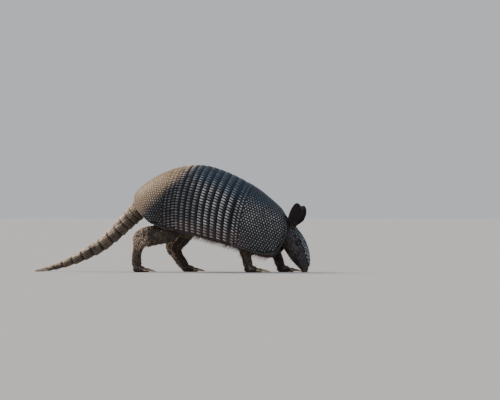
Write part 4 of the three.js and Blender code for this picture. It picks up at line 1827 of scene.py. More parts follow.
@dataclass
class Hide:
    """One skin over head, neck, trunk, legs, feet and ears, with its folds, lids and creases."""

    finish: HideFinish = HideFinish(
        "hide", (0.021, 0.016, 0.015), (0.115, 0.068, 0.054), (0.060, 0.048, 0.045)
    )
    inset: float = 0.35
    voxel: float = 1.0
    most: int = 190_000  # triangles the finished skin may have
    buried: float = 16.0  # how much further in the trunk lies where the shell hides it

    def build(self) -> bpy.types.Object:
        """Casts the volumes as one, then models the folds.

        Returns:
            The skin.
        """
        volumes = [self._trunk(), self._head()]
        volumes += [LimbForm(joints, self.inset).volume() for joints in LEGS.values()]
        volumes += [piece for foot in FEET.values() for piece in foot.volumes()]
        volumes += [ear.volume() for ear in EARS.values()]
        volumes.append(ball(*THIGH_FOLD))
        hide = Bench.join(volumes, "hide")
        Bench.modify(hide, "REMESH", mode="VOXEL", voxel_size=self.voxel * MM, use_smooth_shade=True)
        Bench.modify(hide, "SMOOTH", factor=0.5, iterations=5)
        self._refine(hide)
        self._model(hide)
        triangles = sum(len(face.vertices) - 2 for face in hide.data.polygons)
        Bench.modify(hide, "DECIMATE", ratio=self.most / triangles)
        self._rest_on_floor(hide)
        nodes = ("head", "neck", "trunk", *EARS, *LEGS, *FEET)
        place_piece(hide, self.finish.material(), "skin", *nodes)
        return hide

    def _trunk(self) -> bpy.types.Object:
        """Makes the trunk, which fills the shell and hangs a little below it.

        Returns:
            The trunk.
        """
        rings, sides, dome = 70, 84, 10
        turn = np.linspace(-1, 1, sides, endpoint=False)[None]
        station = np.linspace(TRUNK_START, SHELL_END, rings)
        row = np.concatenate([station, np.full(dome, SHELL_END)])[:, None]
        bend = np.concatenate([np.zeros(rings), np.linspace(0, 1, dome + 1)[1:] * math.pi * 0.42])[:, None]
        collar = 1 - 0.3 * (1 - smooth_step(0, 0.5, row - TRUNK_START) ** 0.5)
        half = np.abs(turn)
        back = np.minimum(half / TRUNK_BACK_SHARE, 1) * np.sign(turn) * SHELL_EDGE
        ends = smooth_step(1.2, 2.6, row - TRUNK_START) * smooth_step(0, 1.6, SHELL_END - row)
        deep = self.buried * ends * smooth_step(math.radians(100), math.radians(75), np.abs(back))
        skin = shell_form.raised(row, back, -(FLESH_INSET + self.inset + deep))
        under = np.maximum(half - TRUNK_BACK_SHARE, 0) / (1 - TRUNK_BACK_SHARE) * math.pi / 2
        skin[..., 1] *= np.cos(under)
        skin[..., 2] -= (shell_form.belly(row) - self.inset) * np.sin(under)
        middle = shell_form.centre(row) - np.array([0, 0, 4.0])
        points = middle + (skin - middle) * (np.cos(bend) * collar)[..., None]
        top, low = (shell_form.place(np.array([SHELL_END]), np.array([a]))[0] for a in (0.0, SHELL_EDGE))
        low[1] = 0
        backward = unit(np.cross(low - top, np.array([0.0, 1.0, 0.0])))
        backward *= -np.sign(backward[0])
        points = points + backward * (RUMP_DEPTH * np.sin(bend))[..., None]
        poles = np.stack([middle[0, 0], middle[-1, 0] + backward * RUMP_DEPTH])
        points = np.vstack([points.reshape(-1, 3), poles])
        return Bench.cast("trunk", points, lathe_faces(rings + dome, sides))

    def _head(self) -> bpy.types.Object:
        """Makes neck and head, down to the tip of the nose.

        Returns:
            Both as one volume.
        """
        rings, sides = 120, 60
        s = np.linspace(0, head_form.last, rings)[:, None]
        a = np.linspace(0, 2 * math.pi, sides, endpoint=False)[None]
        wrapped = np.where(a > math.pi, a - 2 * math.pi, a)
        points = head_form.raised(s, wrapped, -self.inset).reshape(-1, 3)
        points = np.vstack([points, head_form.centre(np.array([0.0, head_form.last]))])
        return Bench.cast("head", points, lathe_faces(rings, sides))

    @staticmethod
    def _rest_on_floor(hide: bpy.types.Object) -> None:
        """Flattens what reaches the floor."""
        move_vertices(hide, above_floor(vertices_of(hide), FLAT_FOOT))

    def _refine(self, hide: bpy.types.Object) -> None:
        """Cuts the skin finer round the eyes, mouth and nose.

        Args:
            hide: the skin.
        """
        eyes = [Vector(EYE.at(side)) * MM for side in Side]
        for reach, snout in ((11, 26), (6.5, 0)):
            def near(face: Any, reach: float = reach, snout: float = snout) -> bool:
                """Whether a face is close to an eye or on the snout."""
                middle = face.calc_center_median()
                on_snout = middle.x > SNOUT_FROM * MM and middle.z < snout * MM
                return on_snout or any((middle - eye).length < reach * MM for eye in eyes)
            with Bench.picked(hide, "FACE", near):
                bpy.ops.mesh.subdivide(number_cuts=1)

    def _model(self, hide: bpy.types.Object) -> None:
        """Pushes the folds, lids and creases into the skin and records where they are.

        Args:
            hide: the skin.
        """
        places, normals = vertices_of(hide), normals_of(hide)
        push = np.zeros(len(places))
        crease, blush, shade = np.zeros(len(places)), np.zeros(len(places)), np.zeros(len(places))
        on_head = np.flatnonzero((places[:, 0] > HEAD_FROM) & (np.abs(places[:, 1]) < HEAD_HALF))
        station, angle, distance = self._read_head(places[on_head])
        near = distance < 4.5
        push[on_head], crease[on_head] = self._head_folds(places[on_head], station, angle, near)
        shade[on_head] = 0.55 * smooth_step(4.6, 3.4, station) * near
        push += self._limb_folds(places, crease)
        push += self._belly_folds(places, normals, crease)
        places = places + normals * push[:, None]
        places, lids = self._open_eyes(places)
        crease = np.maximum(crease, lids)
        for ear in EARS.values():
            shade = np.maximum(shade, self._ear_shade(places, ear))
        x, _, z = places.T
        blush += 0.9 * smooth_step(52, 34, z) * smooth_step(225, 205, x) * smooth_step(-70, -30, x) * (
            smooth_step(-0.2, -0.9, normals[:, 2]))
        blush += smooth_step(9, 3, z) * smooth_step(248, 253, x)
        move_vertices(hide, places)
        found = {"crease": crease, "blush": blush, "shade": shade}
        paint_numbers(hide.data, **{name: np.clip(values, 0, 1) for name, values in found.items()})

    @staticmethod
    def _read_head(places: Array) -> tuple[Array, Array, Array]:
        """Finds the point of the head nearest to each place.

        Args:
            places: points of the skin.

        Returns:
            The nearest points' stations, their angles, and how far off they are.
        """
        stations, angles = np.linspace(0, head_form.last, 150), np.linspace(-math.pi, math.pi, 121)
        s, a = np.meshgrid(stations, angles, indexing="ij")
        grid = head_form.place(s, a).reshape(-1, 3)
        tree = KDTree(len(grid))
        for index, point in enumerate(grid):
            tree.insert(point, index)
        tree.balance()
        found = [tree.find(place)[1:] for place in places]
        index = np.array([f[0] for f in found])
        return s.ravel()[index], a.ravel()[index], np.array([f[1] for f in found])

    @staticmethod
    def _head_folds(places: Array, station: Array, angle: Array, near: Array) -> tuple[Array, Array]:
        """Folds of neck and cheek, mouth, nostrils and the sockets of the eyes.

        Args:
            places: points of the skin.
            station: where each is along the head.
            angle: where it is round the head.
            near: whether it is on the head at all.

        Returns:
            How far each is pushed out, and how deep it lies in a crease.
        """
        turn = np.abs(angle)
        wobble = 0.35 * np.sin(3.1 * angle + 1.3) + 0.2 * np.sin(7.3 * angle)
        on_neck = smooth_step(0.6, 1.4, station) * smooth_step(4.3, 3.3, station)
        on_neck *= smooth_step(0.5, 1.1, turn)
        folds = np.sin(2 * math.pi * (station + 0.12 * wobble) * 2.6)
        push = 0.75 * on_neck * folds
        crease = on_neck * smooth_step(-0.55, -1.0, folds) * 0.8
        cheek = smooth_step(4.2, 5.0, station) * smooth_step(7.6, 6.6, station) * smooth_step(1.3, 1.8, turn)
        lines = np.sin(2 * math.pi * (station * 1.9 + 0.5 * turn + 0.2 * np.sin(5 * turn)))
        push += 0.28 * cheek * lines
        crease += cheek * smooth_step(-0.7, -1.0, lines) * 0.4
        mouth_at = 2.08 + 0.05 * (station - 7)
        mouth = bump(turn - mouth_at, 0.075) * smooth_step(6.9, 7.5, station)
        push -= 0.85 * mouth
        push += 0.3 * bump(turn - mouth_at - 0.17, 0.1) * smooth_step(6.9, 7.6, station)
        crease += mouth
        for side in Side:
            hole = np.hypot((station - 10.25) * 11, (angle - side.value * 0.72) * 7.5)
            push -= 1.9 * bump(hole, 1.25)
            push += 0.35 * bump(hole - 2.6, 0.8)
            crease += bump(hole, 1.3)
            socket = np.linalg.norm(places - EYE.at(side), axis=1)
            push -= 0.9 * bump(socket - 5.5, 2.6) * smooth_step(2, 4, socket)
        return push * near, crease * near

    @staticmethod
    def _limb_folds(places: Array, crease: Array) -> Array:
        """Rings of wrinkled skin at the joints of the legs.

        Args:
            places: points of the skin.
            crease: how deep each lies in a crease, which this adds to.

        Returns:
            How far each is pushed out.
        """
        push = np.zeros(len(places))
        for name, joints in LEGS.items():
            form = LimbForm(joints)
            samples = np.linspace(0, 1, 240)
            axis = form.axis.at(samples)
            low = places[:, 2] < axis[0, 2] + 4
            near = low & (np.abs(places[:, 1] - axis[:, 1].mean()) < 24)
            index = np.flatnonzero(near)
            gaps = np.linalg.norm(places[index, None, :] - axis[None], axis=-1)
            share = samples[gaps.argmin(1)]
            close = gaps.min(1) < 19
            waves = np.sin(share * math.pi * 2 * len(joints) * 2.1 + 0.9 * np.sin(places[index, 1] * 0.35))
            depth = 0.32 * smooth_step(0.16, 0.3, share) * smooth_step(0.99, 0.9, share) * close
            push[index] += depth * waves
            crease[index] += close * smooth_step(-0.75, -1.0, waves) * 0.35 * smooth_step(0.16, 0.3, share)
        return push

    @staticmethod
    def _belly_folds(places: Array, normals: Array, crease: Array) -> Array:
        """Soft folds across the belly, and folds that run out from the root of the tail.

        Args:
            places: points of the skin.
            normals: its outward directions there.
            crease: how deep each lies in a crease, which this adds to.

        Returns:
            How far each is pushed out.
        """
        x, y, z = places.T
        under = smooth_step(-0.25, -0.8, normals[:, 2]) * smooth_step(-45, -20, x)
        under *= smooth_step(190, 165, x) * smooth_step(20, 30, z)
        waves = np.sin(x * 2 * math.pi / 11.5 + 0.5 * np.sin(y * 0.11))
        behind = -(normals[:, 0] + normals[:, 2]) / math.sqrt(2)
        rump = smooth_step(0.6, 0.85, behind) * smooth_step(-22, -30, x) * smooth_step(80, 90, z)
        rays = np.sin(np.arctan2(y, TAIL_ROOT_HEIGHT - z) * 23 + np.sin(z * 0.4))
        crease += under * smooth_step(-0.7, -1, waves) * 0.4 + rump * smooth_step(-0.5, -1, rays) * 0.5
        return 0.5 * under * waves + 0.4 * rump * rays

    @staticmethod
    def _open_eyes(places: Array) -> tuple[Array, Array]:
        """Lays lids over each eyeball and opens them along an almond.

        Args:
            places: points of the skin.

        Returns:
            The points with the lids in them, and how deep each lies in a lid's crease.
        """
        places, lids = places.copy(), np.zeros(len(places))
        for side in Side:
            middle, axis = EYE.at(side), EYE.axis(side)
            ahead = head_form.place(np.array([EYE.station + 0.3]), np.array([side.value * EYE.angle]))[0]
            forward = ahead - middle
            forward = unit(forward - axis * (forward @ axis))
            up = np.cross(axis, forward)
            offset = places - middle
            height, x, y = offset @ axis, offset @ forward, offset @ up
            index = np.flatnonzero((np.hypot(x, y) < 7) & (height > -3))
            x, y, height = x[index], y[index], height[index]
            radius = np.hypot(x, y)
            opening = np.sqrt((x / EYE.opening[0]) ** 2 + (y / EYE.opening[1]) ** 2)
            lid = np.sqrt(np.maximum((EYE.radius + 0.75) ** 2 - radius**2, 0))
            lid = lid + 0.28 * bump(opening - 1.3, 0.16) - 0.2 * bump(opening - 1.75, 0.14)
            ball_under = np.sqrt(np.maximum((EYE.radius - 0.9) ** 2 - radius**2, 0))
            target = np.where(opening < 1, ball_under, lid)
            share = smooth_step(5.0, 3.2, radius)
            new = height + (target - height) * np.where(opening < 1, 1.0, share)
            places[index] += axis * (new - height)[:, None]
            lines = 0.9 * bump(opening - 1.0, 0.14) + 0.5 * bump(opening - 1.75, 0.12)
            lids[index] = np.maximum(lids[index], lines)
        return places, lids

    @staticmethod
    def _ear_shade(places: Array, ear: Ear) -> Array:
        """Finds what is part of an ear.

        Args:
            places: points of the skin.
            ear: the ear.

        Returns:
            1 on the ear and 0 away from it.
        """
        along = unit(np.array(ear.axis, float))
        offset = places - np.array(ear.root)
        rise = offset @ along
        away = np.linalg.norm(offset - along * rise[:, None], axis=1)
        return smooth_step(3, 12, rise) * (away < 26) * (rise < ear.length + 3)


@dataclass(frozen=True)
class EyeFinish:
    """A wet, nearly black eye."""

    name: str = "eye_glass"
    colour: Colour = (0.010, 0.006, 0.004)
    rim: Colour = (0.05, 0.025, 0.014)

    def material(self) -> bpy.types.Material:
        """Builds the finish.

        Returns:
            The material.
        """
        paint = Paint(self.name, 0.06, Coat_Weight=1.0, Coat_Roughness=0.03)
        streaks = paint.noise(1.2, 4, 0.6)
        paint.wear("Base Color", paint.mix(streaks.between(0.45, 0.7), self.colour, self.rim))
        return paint.material


@dataclass
class Eyes:
    """Both eyeballs, each with a slightly raised cornea."""

    cornea: float = 0.32

    def build(self) -> None:
        """Makes the two eyeballs."""
        finish = EyeFinish().material()
        for side in Side:
            radius = EYE.radius * 0.985
            piece = ball(EYE.at(side), (radius, radius, radius), 32)
            places = vertices_of(piece)
            offset = places - EYE.at(side)
            facing = unit(offset) @ EYE.axis(side)
            lifted = offset * (1 + self.cornea / radius * smooth_step(0.72, 0.97, facing))[:, None]
            move_vertices(piece, EYE.at(side) + lifted)
            name = f"eye_{side.name.lower()}"
            piece.name = piece.data.name = name + "_ball"
            Bench.smooth(piece)
            place_piece(piece, finish, "eye", name)


# ---- Scales and hairs on the skin ----


class SkinTree:
    """The finished skin, to lay scales and root hairs on."""

    def __init__(self, hide: bpy.types.Object) -> None:
        """Reads the skin."""
        places = vertices_of(hide)
        self.tree = BVHTree.FromPolygons(places.tolist(), [tuple(f.vertices) for f in hide.data.polygons])

    def drop(self, starts: Array, ways: Array, reach: float) -> tuple[Array, Array, Array]:
        """Sends a ray from each start.

        Args:
            starts: where the rays begin.
            ways: their directions, of length one.
            reach: how far they go.

        Returns:
            Where each lands, or its start; the skin's direction there; and whether it lands.
        """
        landed, normals = starts.copy(), -ways.copy()
        hits = np.zeros(len(starts), bool)
        for i, (start, way) in enumerate(zip(starts.tolist(), ways.tolist(), strict=True)):
            place, normal, _, _ = self.tree.ray_cast(start, way, reach)
            if place is not None:
                landed[i], normals[i], hits[i] = place, normal, True
        return landed, normals, hits

    def snug(self, chart: Chart, above: float = 7.0) -> Callable[[Array, Array], Array]:
        """Makes a lift that follows the skin under a chart.

        Args:
            chart: the chart.
            above: how high over its form the search for skin begins.

        Returns:
            What turns places on the chart and heights into points.
        """
        def lift(flat: Array, height: Array) -> Array:
            """The points at these heights over the skin."""
            outer, inner, way = chart.form.inward(*chart.unfold(flat), above)
            landed, _, hits = self.drop(outer, way, above * 2)
            return np.where(hits[:, None], landed, inner) - way * np.asarray(height)[:, None]
        return lift

    def bare(self, chart: Chart, scales: list[Scale], slack: float) -> list[Scale]:
        """Leaves out scales whose ground isn't the skin of their own chart but something over it.

        Args:
            chart: where the scales lie.
            scales: all of them.
            slack: how far the skin may be from the chart.

        Returns:
            The scales that are left.
        """
        flat = np.array([scale.at for scale in scales])
        outer, inner, way = chart.form.inward(*chart.unfold(flat), 9.0)
        landed, _, hits = self.drop(outer, way, 14)
        near = np.linalg.norm(landed - inner, axis=1) < slack
        return [scale for scale, ok in zip(scales, hits & near, strict=True) if ok]


def scatter(chart: Chart, spacing: float, radius: float, height: float, jitter: float,
            rng: np.random.Generator, tone: float = 0.5, spread: float = 0.14) -> list[Scale]:
    """Uneven scales all over a chart.

    Args:
        chart: where they lie.
        spacing: how far apart their middles are.
        radius: how far each may spread.
        height: how high each stands.
        jitter: how uneven they are, as a share of the spacing.
        rng: the draws.
        tone: how pale they are.
        spread: how much the tone varies.

    Returns:
        The scales.
    """
    found, row, travel = [], 0, spacing * 0.5
    while travel < chart.length:
        half = float(chart.half_span(travel))
        for span in np.arange(-half + (row % 2 / 2) * spacing, half, spacing):
            place = np.array([travel, span]) + rng.normal(0, jitter * spacing, 2)
            size = radius * rng.uniform(0.88, 1.12)
            found.append(Scale((float(place[0]), float(place[1])), size, 1.0, height * rng.uniform(0.8, 1.15),
                               float(np.clip(rng.normal(tone, spread), 0.08, 1.1))))
        travel += spacing * 0.87
        row += 1
    ok = chart.covers(np.array([scale.at for scale in found]), spacing * 0.3)
    return [scale for scale, inside in zip(found, ok, strict=True) if inside]


SOFT_DOME = Dome(((1.0, 0.0), (0.9, 0.6), (0.66, 0.93)), 0.5)


@dataclass
class HeadShield:
    """The horny plates over forehead and muzzle, and the smaller ones scattered on cheeks and chin."""

    finish: ScaleFinish = ScaleFinish(
        "head_horn", (0.008, 0.011, 0.017), (0.50, 0.54, 0.58), (0.15, 0.20, 0.27),
        roughness=0.45, low=0.5, high=1.0
    )
    cheek_finish: ScaleFinish = ScaleFinish(
        "cheek_horn", (0.018, 0.014, 0.017), (0.20, 0.18, 0.21), (0.11, 0.08, 0.085),
        roughness=0.55, low=0.2, gloss=0.2
    )
    ground_finish: ScaleFinish = ScaleFinish(
        "head_ground", (0.013, 0.014, 0.018), (0.05, 0.05, 0.055), (0.03, 0.03, 0.033), 0.7, 0.6, gloss=0.15
    )
    start: float = 4.02
    end: float = 9.7
    edge: float = math.radians(60)
    rows: int = 70
    columns: int = 60

    def half(self, share: Array) -> Array:
        """The angle of the shield's side at this share of the way down."""
        waist = 0.16 * bump(share - 0.31, 0.13)
        return self.edge * (1 - 0.4 * share**2 - waist) * smooth_step(-0.2, 0.1, share)

    def build(self, skin: SkinTree, rng: np.random.Generator) -> None:
        """Makes the shield and its scales, then the cheeks' scales.

        Args:
            skin: what they are laid on.
            rng: the draws that unsettle them.
        """
        plate = self._plate(skin)
        chart = Chart(head_form, self.start, self.end, self.edge, 0.6)
        found = scatter(chart, 4.6, 2.45, 0.8, 0.12, rng, 0.68, 0.26)
        scales = [replace(scale, tone=scale.tone * float(0.4 + 0.6 * smooth_step(12, 48, scale.at[0])))
                  for scale in found if self._on(chart, scale, 0.04)]  # duller on the forehead
        layer = Layer(skin.snug(chart), 0.7)
        layer.add(scales, lambda _: SOFT_DOME, 1.0)
        place_piece(layer.piece("head_shield_scales"), self.finish.material(), "shell")
        place_piece(plate, self.ground_finish.material(), "shell", "head_shield")
        self._cheeks(skin, rng)

    def _on(self, chart: Chart, scale: Scale, margin: float) -> bool:
        """Whether a scale's middle lies on the shield."""
        station, angle = chart.unfold(np.array([scale.at]))
        share = (station - self.start) / (self.end - self.start)
        return bool(np.abs(angle[0]) < self.half(share)[0] - margin and 0.015 < share[0] < 0.985)

    def _plate(self, skin: SkinTree) -> bpy.types.Object:
        """Makes the ground under the scales: a curved plate with a rounded edge.

        Args:
            skin: what it is laid on.

        Returns:
            The plate, with rise and tone for its finish.
        """
        share = 0.5 - 0.5 * np.cos(np.linspace(0, math.pi, self.rows))
        turn = np.sin(np.linspace(-math.pi / 2, math.pi / 2, self.columns))
        station = (self.start + (self.end - self.start) * share)[:, None]
        station = np.broadcast_to(station, (self.rows, self.columns))
        ends = np.sqrt(np.clip(1 - ((share - 0.5) / 0.5) ** 8, 0, 1))
        angle = turn[None] * (self.half(share) * (0.72 + 0.28 * ends))[:, None]
        near = np.sqrt(np.clip(1 - np.abs(turn) ** 14, 0, 1))[None] * ends[:, None] ** 0.5
        outer, _, way = (rays.reshape(-1, 3) for rays in head_form.inward(station, angle, 7.0))
        landed, _, _ = skin.drop(outer, way, 14)
        top = landed - way * (-0.5 + 1.55 * near.reshape(-1, 1))
        under = landed + way * 1.2
        faces = strips(self.rows, self.columns)
        count = self.rows * self.columns
        faces += [tuple(i + count for i in face[::-1]) for face in faces]
        border = [*range(self.columns), *((i + 1) * self.columns - 1 for i in range(1, self.rows - 1)),
                  *reversed(range(count - self.columns, count)),
                  *(i * self.columns for i in reversed(range(1, self.rows - 1)))]
        faces += [(a, b, b + count, a + count) for a, b in zip(border, border[1:] + border[:1], strict=True)]
        piece = Bench.cast("head_shield_plate", np.vstack([top, under]), faces)
        rise = np.concatenate([near.ravel() * 0.6, np.zeros(count)])
        paint_numbers(piece.data, rise=rise, tone=np.full(2 * count, 0.3))
        return piece

    def _cheeks(self, skin: SkinTree, rng: np.random.Generator) -> None:
        """Lays small scales, further apart, beside the shield and down the cheeks.

        Args:
            skin: what they are laid on.
            rng: the draws that unsettle them.
        """
        chart = Chart(head_form, 3.7, 10.0, math.radians(128), 0.6)
        kept = []
        for scale in scatter(chart, 3.3, 1.75, 0.45, 0.16, rng, 0.5, 0.2):
            station, angle = chart.unfold(np.array([scale.at]))
            share = (station - self.start) / (self.end - self.start)
            place = head_form.place(station, angle)[0]
            clear = min(np.linalg.norm(place - EYE.at(side)) for side in Side) > 6.4
            ears = min(np.linalg.norm(place - np.array(ear.root)) for ear in EARS.values()) > 9
            fade = float(smooth_step(math.radians(128), math.radians(85), np.abs(angle[0])))
            beside = np.abs(angle[0]) > self.half(share)[0] + 0.08
            if beside and clear and ears and rng.random() < 0.25 + 0.75 * fade:
                kept.append(replace(scale, radius=scale.radius * (0.65 + 0.35 * fade)))
        layer = Layer(skin.snug(chart), 0.5)
        layer.add(skin.bare(chart, kept, 3.5), lambda _: SOFT_DOME, 0.0)
        place_piece(layer.piece("cheek_scales"), self.cheek_finish.material(), "skin")


@dataclass
class LimbScales:
    """The horny scales of the legs and the backs of the feet."""

    finish: ScaleFinish = ScaleFinish(
        "leg_horn", (0.012, 0.010, 0.010), (0.76, 0.55, 0.40), (0.20, 0.15, 0.125),
        roughness=0.55, low=0.3, high=1.0, gloss=0.2
    )

    def build(self, skin: SkinTree, rng: np.random.Generator) -> None:
        """Lays the scales of each leg and foot.

        Args:
            skin: what they are laid on.
            rng: the draws that unsettle them.
        """
        material = self.finish.material()
        for name, joints in LEGS.items():
            form = LimbForm(joints, turn=-math.pi / 2 if "right" in name else math.pi / 2)
            chart = Chart(form, 0.16 if "hind" in name else 0.1, 0.93, math.pi * 0.97)
            layer = Layer(skin.snug(chart, 6.0), 0.55)
            scales = skin.bare(chart, scatter(chart, 4.3, 2.6, 0.7, 0.15, rng, 0.62, 0.3), 2.6)
            # painted sunlight on the heels and the backs of the shanks, painted shade elsewhere
            lit_scales = [self._lit_tone_and_height(chart, scale, "hind" in name) for scale in scales]
            layer.add(lit_scales, lambda _: SOFT_DOME, 0.0)
            place_piece(layer.piece(name + "_scales"), material, "skin")
        for name, foot in FEET.items():
            place_piece(self._foot(name, foot, skin, rng), material, "skin")

    @staticmethod
    def _lit_tone_and_height(chart: Chart, scale: Scale, hind: bool) -> Scale:
        """Paints light on a scale: dull on thigh, forearm and front in painted shade, paler behind the shank
        and on the heel in painted sunlight; taller behind the shank.

        Args:
            chart: the leg.
            scale: the scale.
            hind: whether this is a hind leg.

        Returns:
            The scale with its own tone and height.
        """
        (x, _, z), = chart.lift(np.array([scale.at]), np.zeros(1))
        middle = chart.form.centre(chart.unfold(np.array([scale.at]))[0])[0]
        behind = float(smooth_step(3, -8, x - middle[0])) if hind else 0.0
        heel = float(smooth_step(-26, -42, x)) * float(smooth_step(30, 52, z)) if x < -10 else 0.5 * behind
        # painted light: dull overall, paler behind the shank and on the heel
        tone = scale.tone * (0.19 + 0.3 * behind + 0.95 * heel * hind)
        return replace(scale, tone=max(tone, 0.06), height=scale.height * (0.7 + 0.4 * behind))

    @staticmethod
    def _foot(name: str, foot: Foot, skin: SkinTree, rng: np.random.Generator) -> bpy.types.Object:
        """The scales on the back of a foot and its toes, dropped on from above.

        Args:
            name: the foot's node.
            foot: the foot.
            skin: what they land on.
            rng: the draws that unsettle them.

        Returns:
            All of the foot's scales as one piece.
        """
        x, y, _ = foot.pad
        spots = []
        for row, across in enumerate(np.arange(y - 16, y + 16, 2.5)):
            for ahead in np.arange(x - 15 + row % 2 * 1.45, x + 22, 2.9):
                spots.append((ahead + rng.normal(0, 0.3), across + rng.normal(0, 0.3)))
        flat = np.array(spots)
        down = np.broadcast_to([0.0, 0.0, -1.0], (len(flat), 3))
        landed, normals, hits = skin.drop(np.column_stack([flat, np.full(len(flat), 14.0)]), down, 13)
        kept = hits & (normals[:, 2] > 0.4)
        flat, landed, normals = flat[kept], landed[kept], normals[kept]
        scales = [Scale((a, b), 1.75, 1.0, 0.42 * rng.uniform(0.8, 1.2), float(rng.normal(0.26, 0.1)))
                  for a, b in flat.tolist()]

        def lift(at: Array, height: Array) -> Array:
            """The points at these heights over the slope of the foot under their own scale."""
            near = np.linalg.norm(at[:, None] - flat[None], axis=-1).argmin(1)
            out, offset = normals[near], at - flat[near]
            level = landed[near, 2] - (out[:, :2] * offset).sum(1) / out[:, 2]
            return np.column_stack([at, level]) + out * height[:, None]
        layer = Layer(lift, 0.3)
        layer.add(scales, lambda _: SOFT_DOME, 0.0)
        return layer.piece(name + "_scales")


@dataclass(frozen=True)
class HairFinish:
    """Coarse, dull hair."""

    name: str = "hair"
    pale: Colour = (0.34, 0.25, 0.15)
    dark: Colour = (0.11, 0.075, 0.045)

    def material(self) -> bpy.types.Material:
        """Builds the finish, which reads tone from the mesh.

        Returns:
            The material.
        """
        paint = Paint(self.name, 0.6, Specular_IOR_Level=0.25)
        share = paint.number("tone") * (paint.noise(3, 3) + 0.5)
        paint.wear("Base Color", paint.mix(share, self.dark, self.pale))
        return paint.material


Roots = tuple[Array, Array, Array, Sequence[float], float]  # starts, ways, places on the map, fall, length


@dataclass
class Hairs:
    """Sparse, stiff hairs on the belly, the flanks' lower edge, the cheeks and the legs."""

    thickness: float = 0.17
    bends: int = 4
    lowest: float = 9.0  # no root lies lower, so that the soles stay bare

    def build(self, skin: SkinTree, rng: np.random.Generator) -> None:
        """Roots every group of hairs and makes them one piece for each group.

        Args:
            skin: what they grow from.
            rng: the draws for their places and shapes.
        """
        material = HairFinish().material()
        groups = {"belly": self._belly(rng), "cheek": self._cheeks(rng), "leg": self._legs(rng)}
        for name, (starts, ways, flats, fall, length) in groups.items():
            landed, normals, hits = skin.drop(starts, ways, 60)
            gathered = Gathering()
            for place, normal, flat in zip(landed[hits], normals[hits], flats[hits], strict=True):
                if place[2] > self.lowest:
                    long = length * rng.uniform(0.6, 1.25)
                    self._grow(place, normal, flat, np.array(fall), long, rng, gathered)
            place_piece(gathered.piece(name + "_hairs"), material, "skin")

    @staticmethod
    def _belly(rng: np.random.Generator, count: int = 1500) -> Roots:
        """Spreads roots over the underside and low on the flanks.

        Args:
            rng: the draws.
            count: how many hairs are tried.

        Returns:
            The roots, on a map of length and angle round the trunk.
        """
        x, turn = rng.uniform(-15, 190, count), rng.uniform(-1, 1, count) * math.radians(72)
        out = np.column_stack([np.zeros(count), np.sin(turn) * 66, -np.cos(turn) * 34])
        middle = np.column_stack([x, np.zeros(count), 92 - 0.24 * x])
        return middle + out * 1.35, -unit(out), np.column_stack([x, turn * 60]), (-0.75, 0, -0.55), 10.0

    @staticmethod
    def _cheeks(rng: np.random.Generator, count: int = 420) -> Roots:
        """Spreads roots over cheeks and throat.

        Args:
            rng: the draws.
            count: how many hairs are tried.

        Returns:
            The roots, on a map of station and angle.
        """
        station = rng.uniform(3.4, 9.4, count)
        angle = rng.uniform(1.35, 2.9, count) * rng.choice((-1, 1), count)
        outer, _, way = head_form.inward(station, angle, 5.0)
        return outer, way, np.column_stack([station * 11, angle * 22]), (-0.2, 0, 0.9), 6.5

    @staticmethod
    def _legs(rng: np.random.Generator, count: int = 170) -> Roots:
        """Spreads roots over the legs.

        Args:
            rng: the draws.
            count: how many hairs are tried on each leg.

        Returns:
            The roots, each leg beside the last on the map.
        """
        found = []
        for number, joints in enumerate(LEGS.values()):
            form = LimbForm(joints)
            share, angle = rng.uniform(0.15, 0.8, count), rng.uniform(-math.pi, math.pi, count)
            outer, _, way = form.inward(share, angle, 6.0)
            found.append((outer, way, np.column_stack([share * 90 + number * 100, angle * 14])))
        starts, ways, flats = (np.concatenate(parts) for parts in zip(*found, strict=True))
        return starts, ways, flats, (-0.45, 0, -0.9), 6.0

    def _grow(self, root: Array, normal: Array, flat: Array, fall: Array, length: float,
              rng: np.random.Generator, into: Gathering) -> None:
        """Grows one hair.

        Args:
            root: where it leaves the skin.
            normal: the skin's direction there.
            flat: its place on the group's map, in millimetres.
            fall: the way it leans.
            length: how long it is.
            rng: the draws.
            into: what it is added to.
        """
        fall = fall - normal * min(float(fall @ normal), 0.0)
        along = unit(normal * 0.75 + fall * 0.7 + rng.normal(0, 0.22, 3))
        side = unit(np.cross(along, rng.normal(0, 1, 3)))
        other = np.cross(along, side)
        place, rings = root - normal * 0.8, []
        for i in range(self.bends):
            share = i / (self.bends - 1)
            thick = self.thickness * (1 - 0.8 * share)
            rings.append([place + (side * math.cos(t) + other * math.sin(t)) * thick
                          for t in (0, 2 * math.pi / 3, 4 * math.pi / 3)])
            along = unit(along + fall * 0.28)
            place = place + along * length / (self.bends - 1)
        points = above_floor(np.array(rings).reshape(-1, 3), 0.2)
        end = len(points)
        faces = [*strips(self.bends, 3, round_columns=True), (2, 1, 0), (end - 3, end - 2, end - 1)]
        share = np.repeat(np.linspace(0, 1, self.bends), 3)
        patch = flat + np.column_stack([share * 0.9, np.tile([0, 0.3, 0.6], self.bends)])
        into.add(points, faces, share, float(rng.uniform(0.2, 1)), patch)


# ---- Claws ----


@dataclass(frozen=True)
class ClawFinish:
    """Worn horn: pale, streaked along its length, with earth near the root."""

    name: str = "claw_horn"
    pale: Colour = (0.46, 0.36, 0.24)
    dark: Colour = (0.17, 0.12, 0.075)

    def material(self) -> bpy.types.Material:
        """Builds the finish, which reads rise from the mesh: 0 at the root and 1 at the tip.

        Returns:
            The material.
        """
        paint = Paint(self.name, 0.38, Specular_IOR_Level=0.4)
        out = paint.number("rise")
        stretched = paint.node("ShaderNodeMapping", {}, {"Vector": paint.place(), "Scale": (0.14, 1.0, 1.0)})
        streaks = paint.noise(0.7, 3, 0.6, stretched)
        earth = (1 - out).between(0.45, 1.0) * paint.noise(2.2, 4).between(0.3, 0.7)
        colour = paint.mix(streaks.between(0.35, 0.7) * 0.6, self.pale, self.dark)
        paint.wear("Base Color", paint.mix(earth * 0.75, colour, (0.07, 0.05, 0.035)))
        paint.wear("Roughness", 0.3 + 0.25 * streaks + earth * 0.2)
        paint.relief(streaks, 0.12, 0.5)
        return paint.material


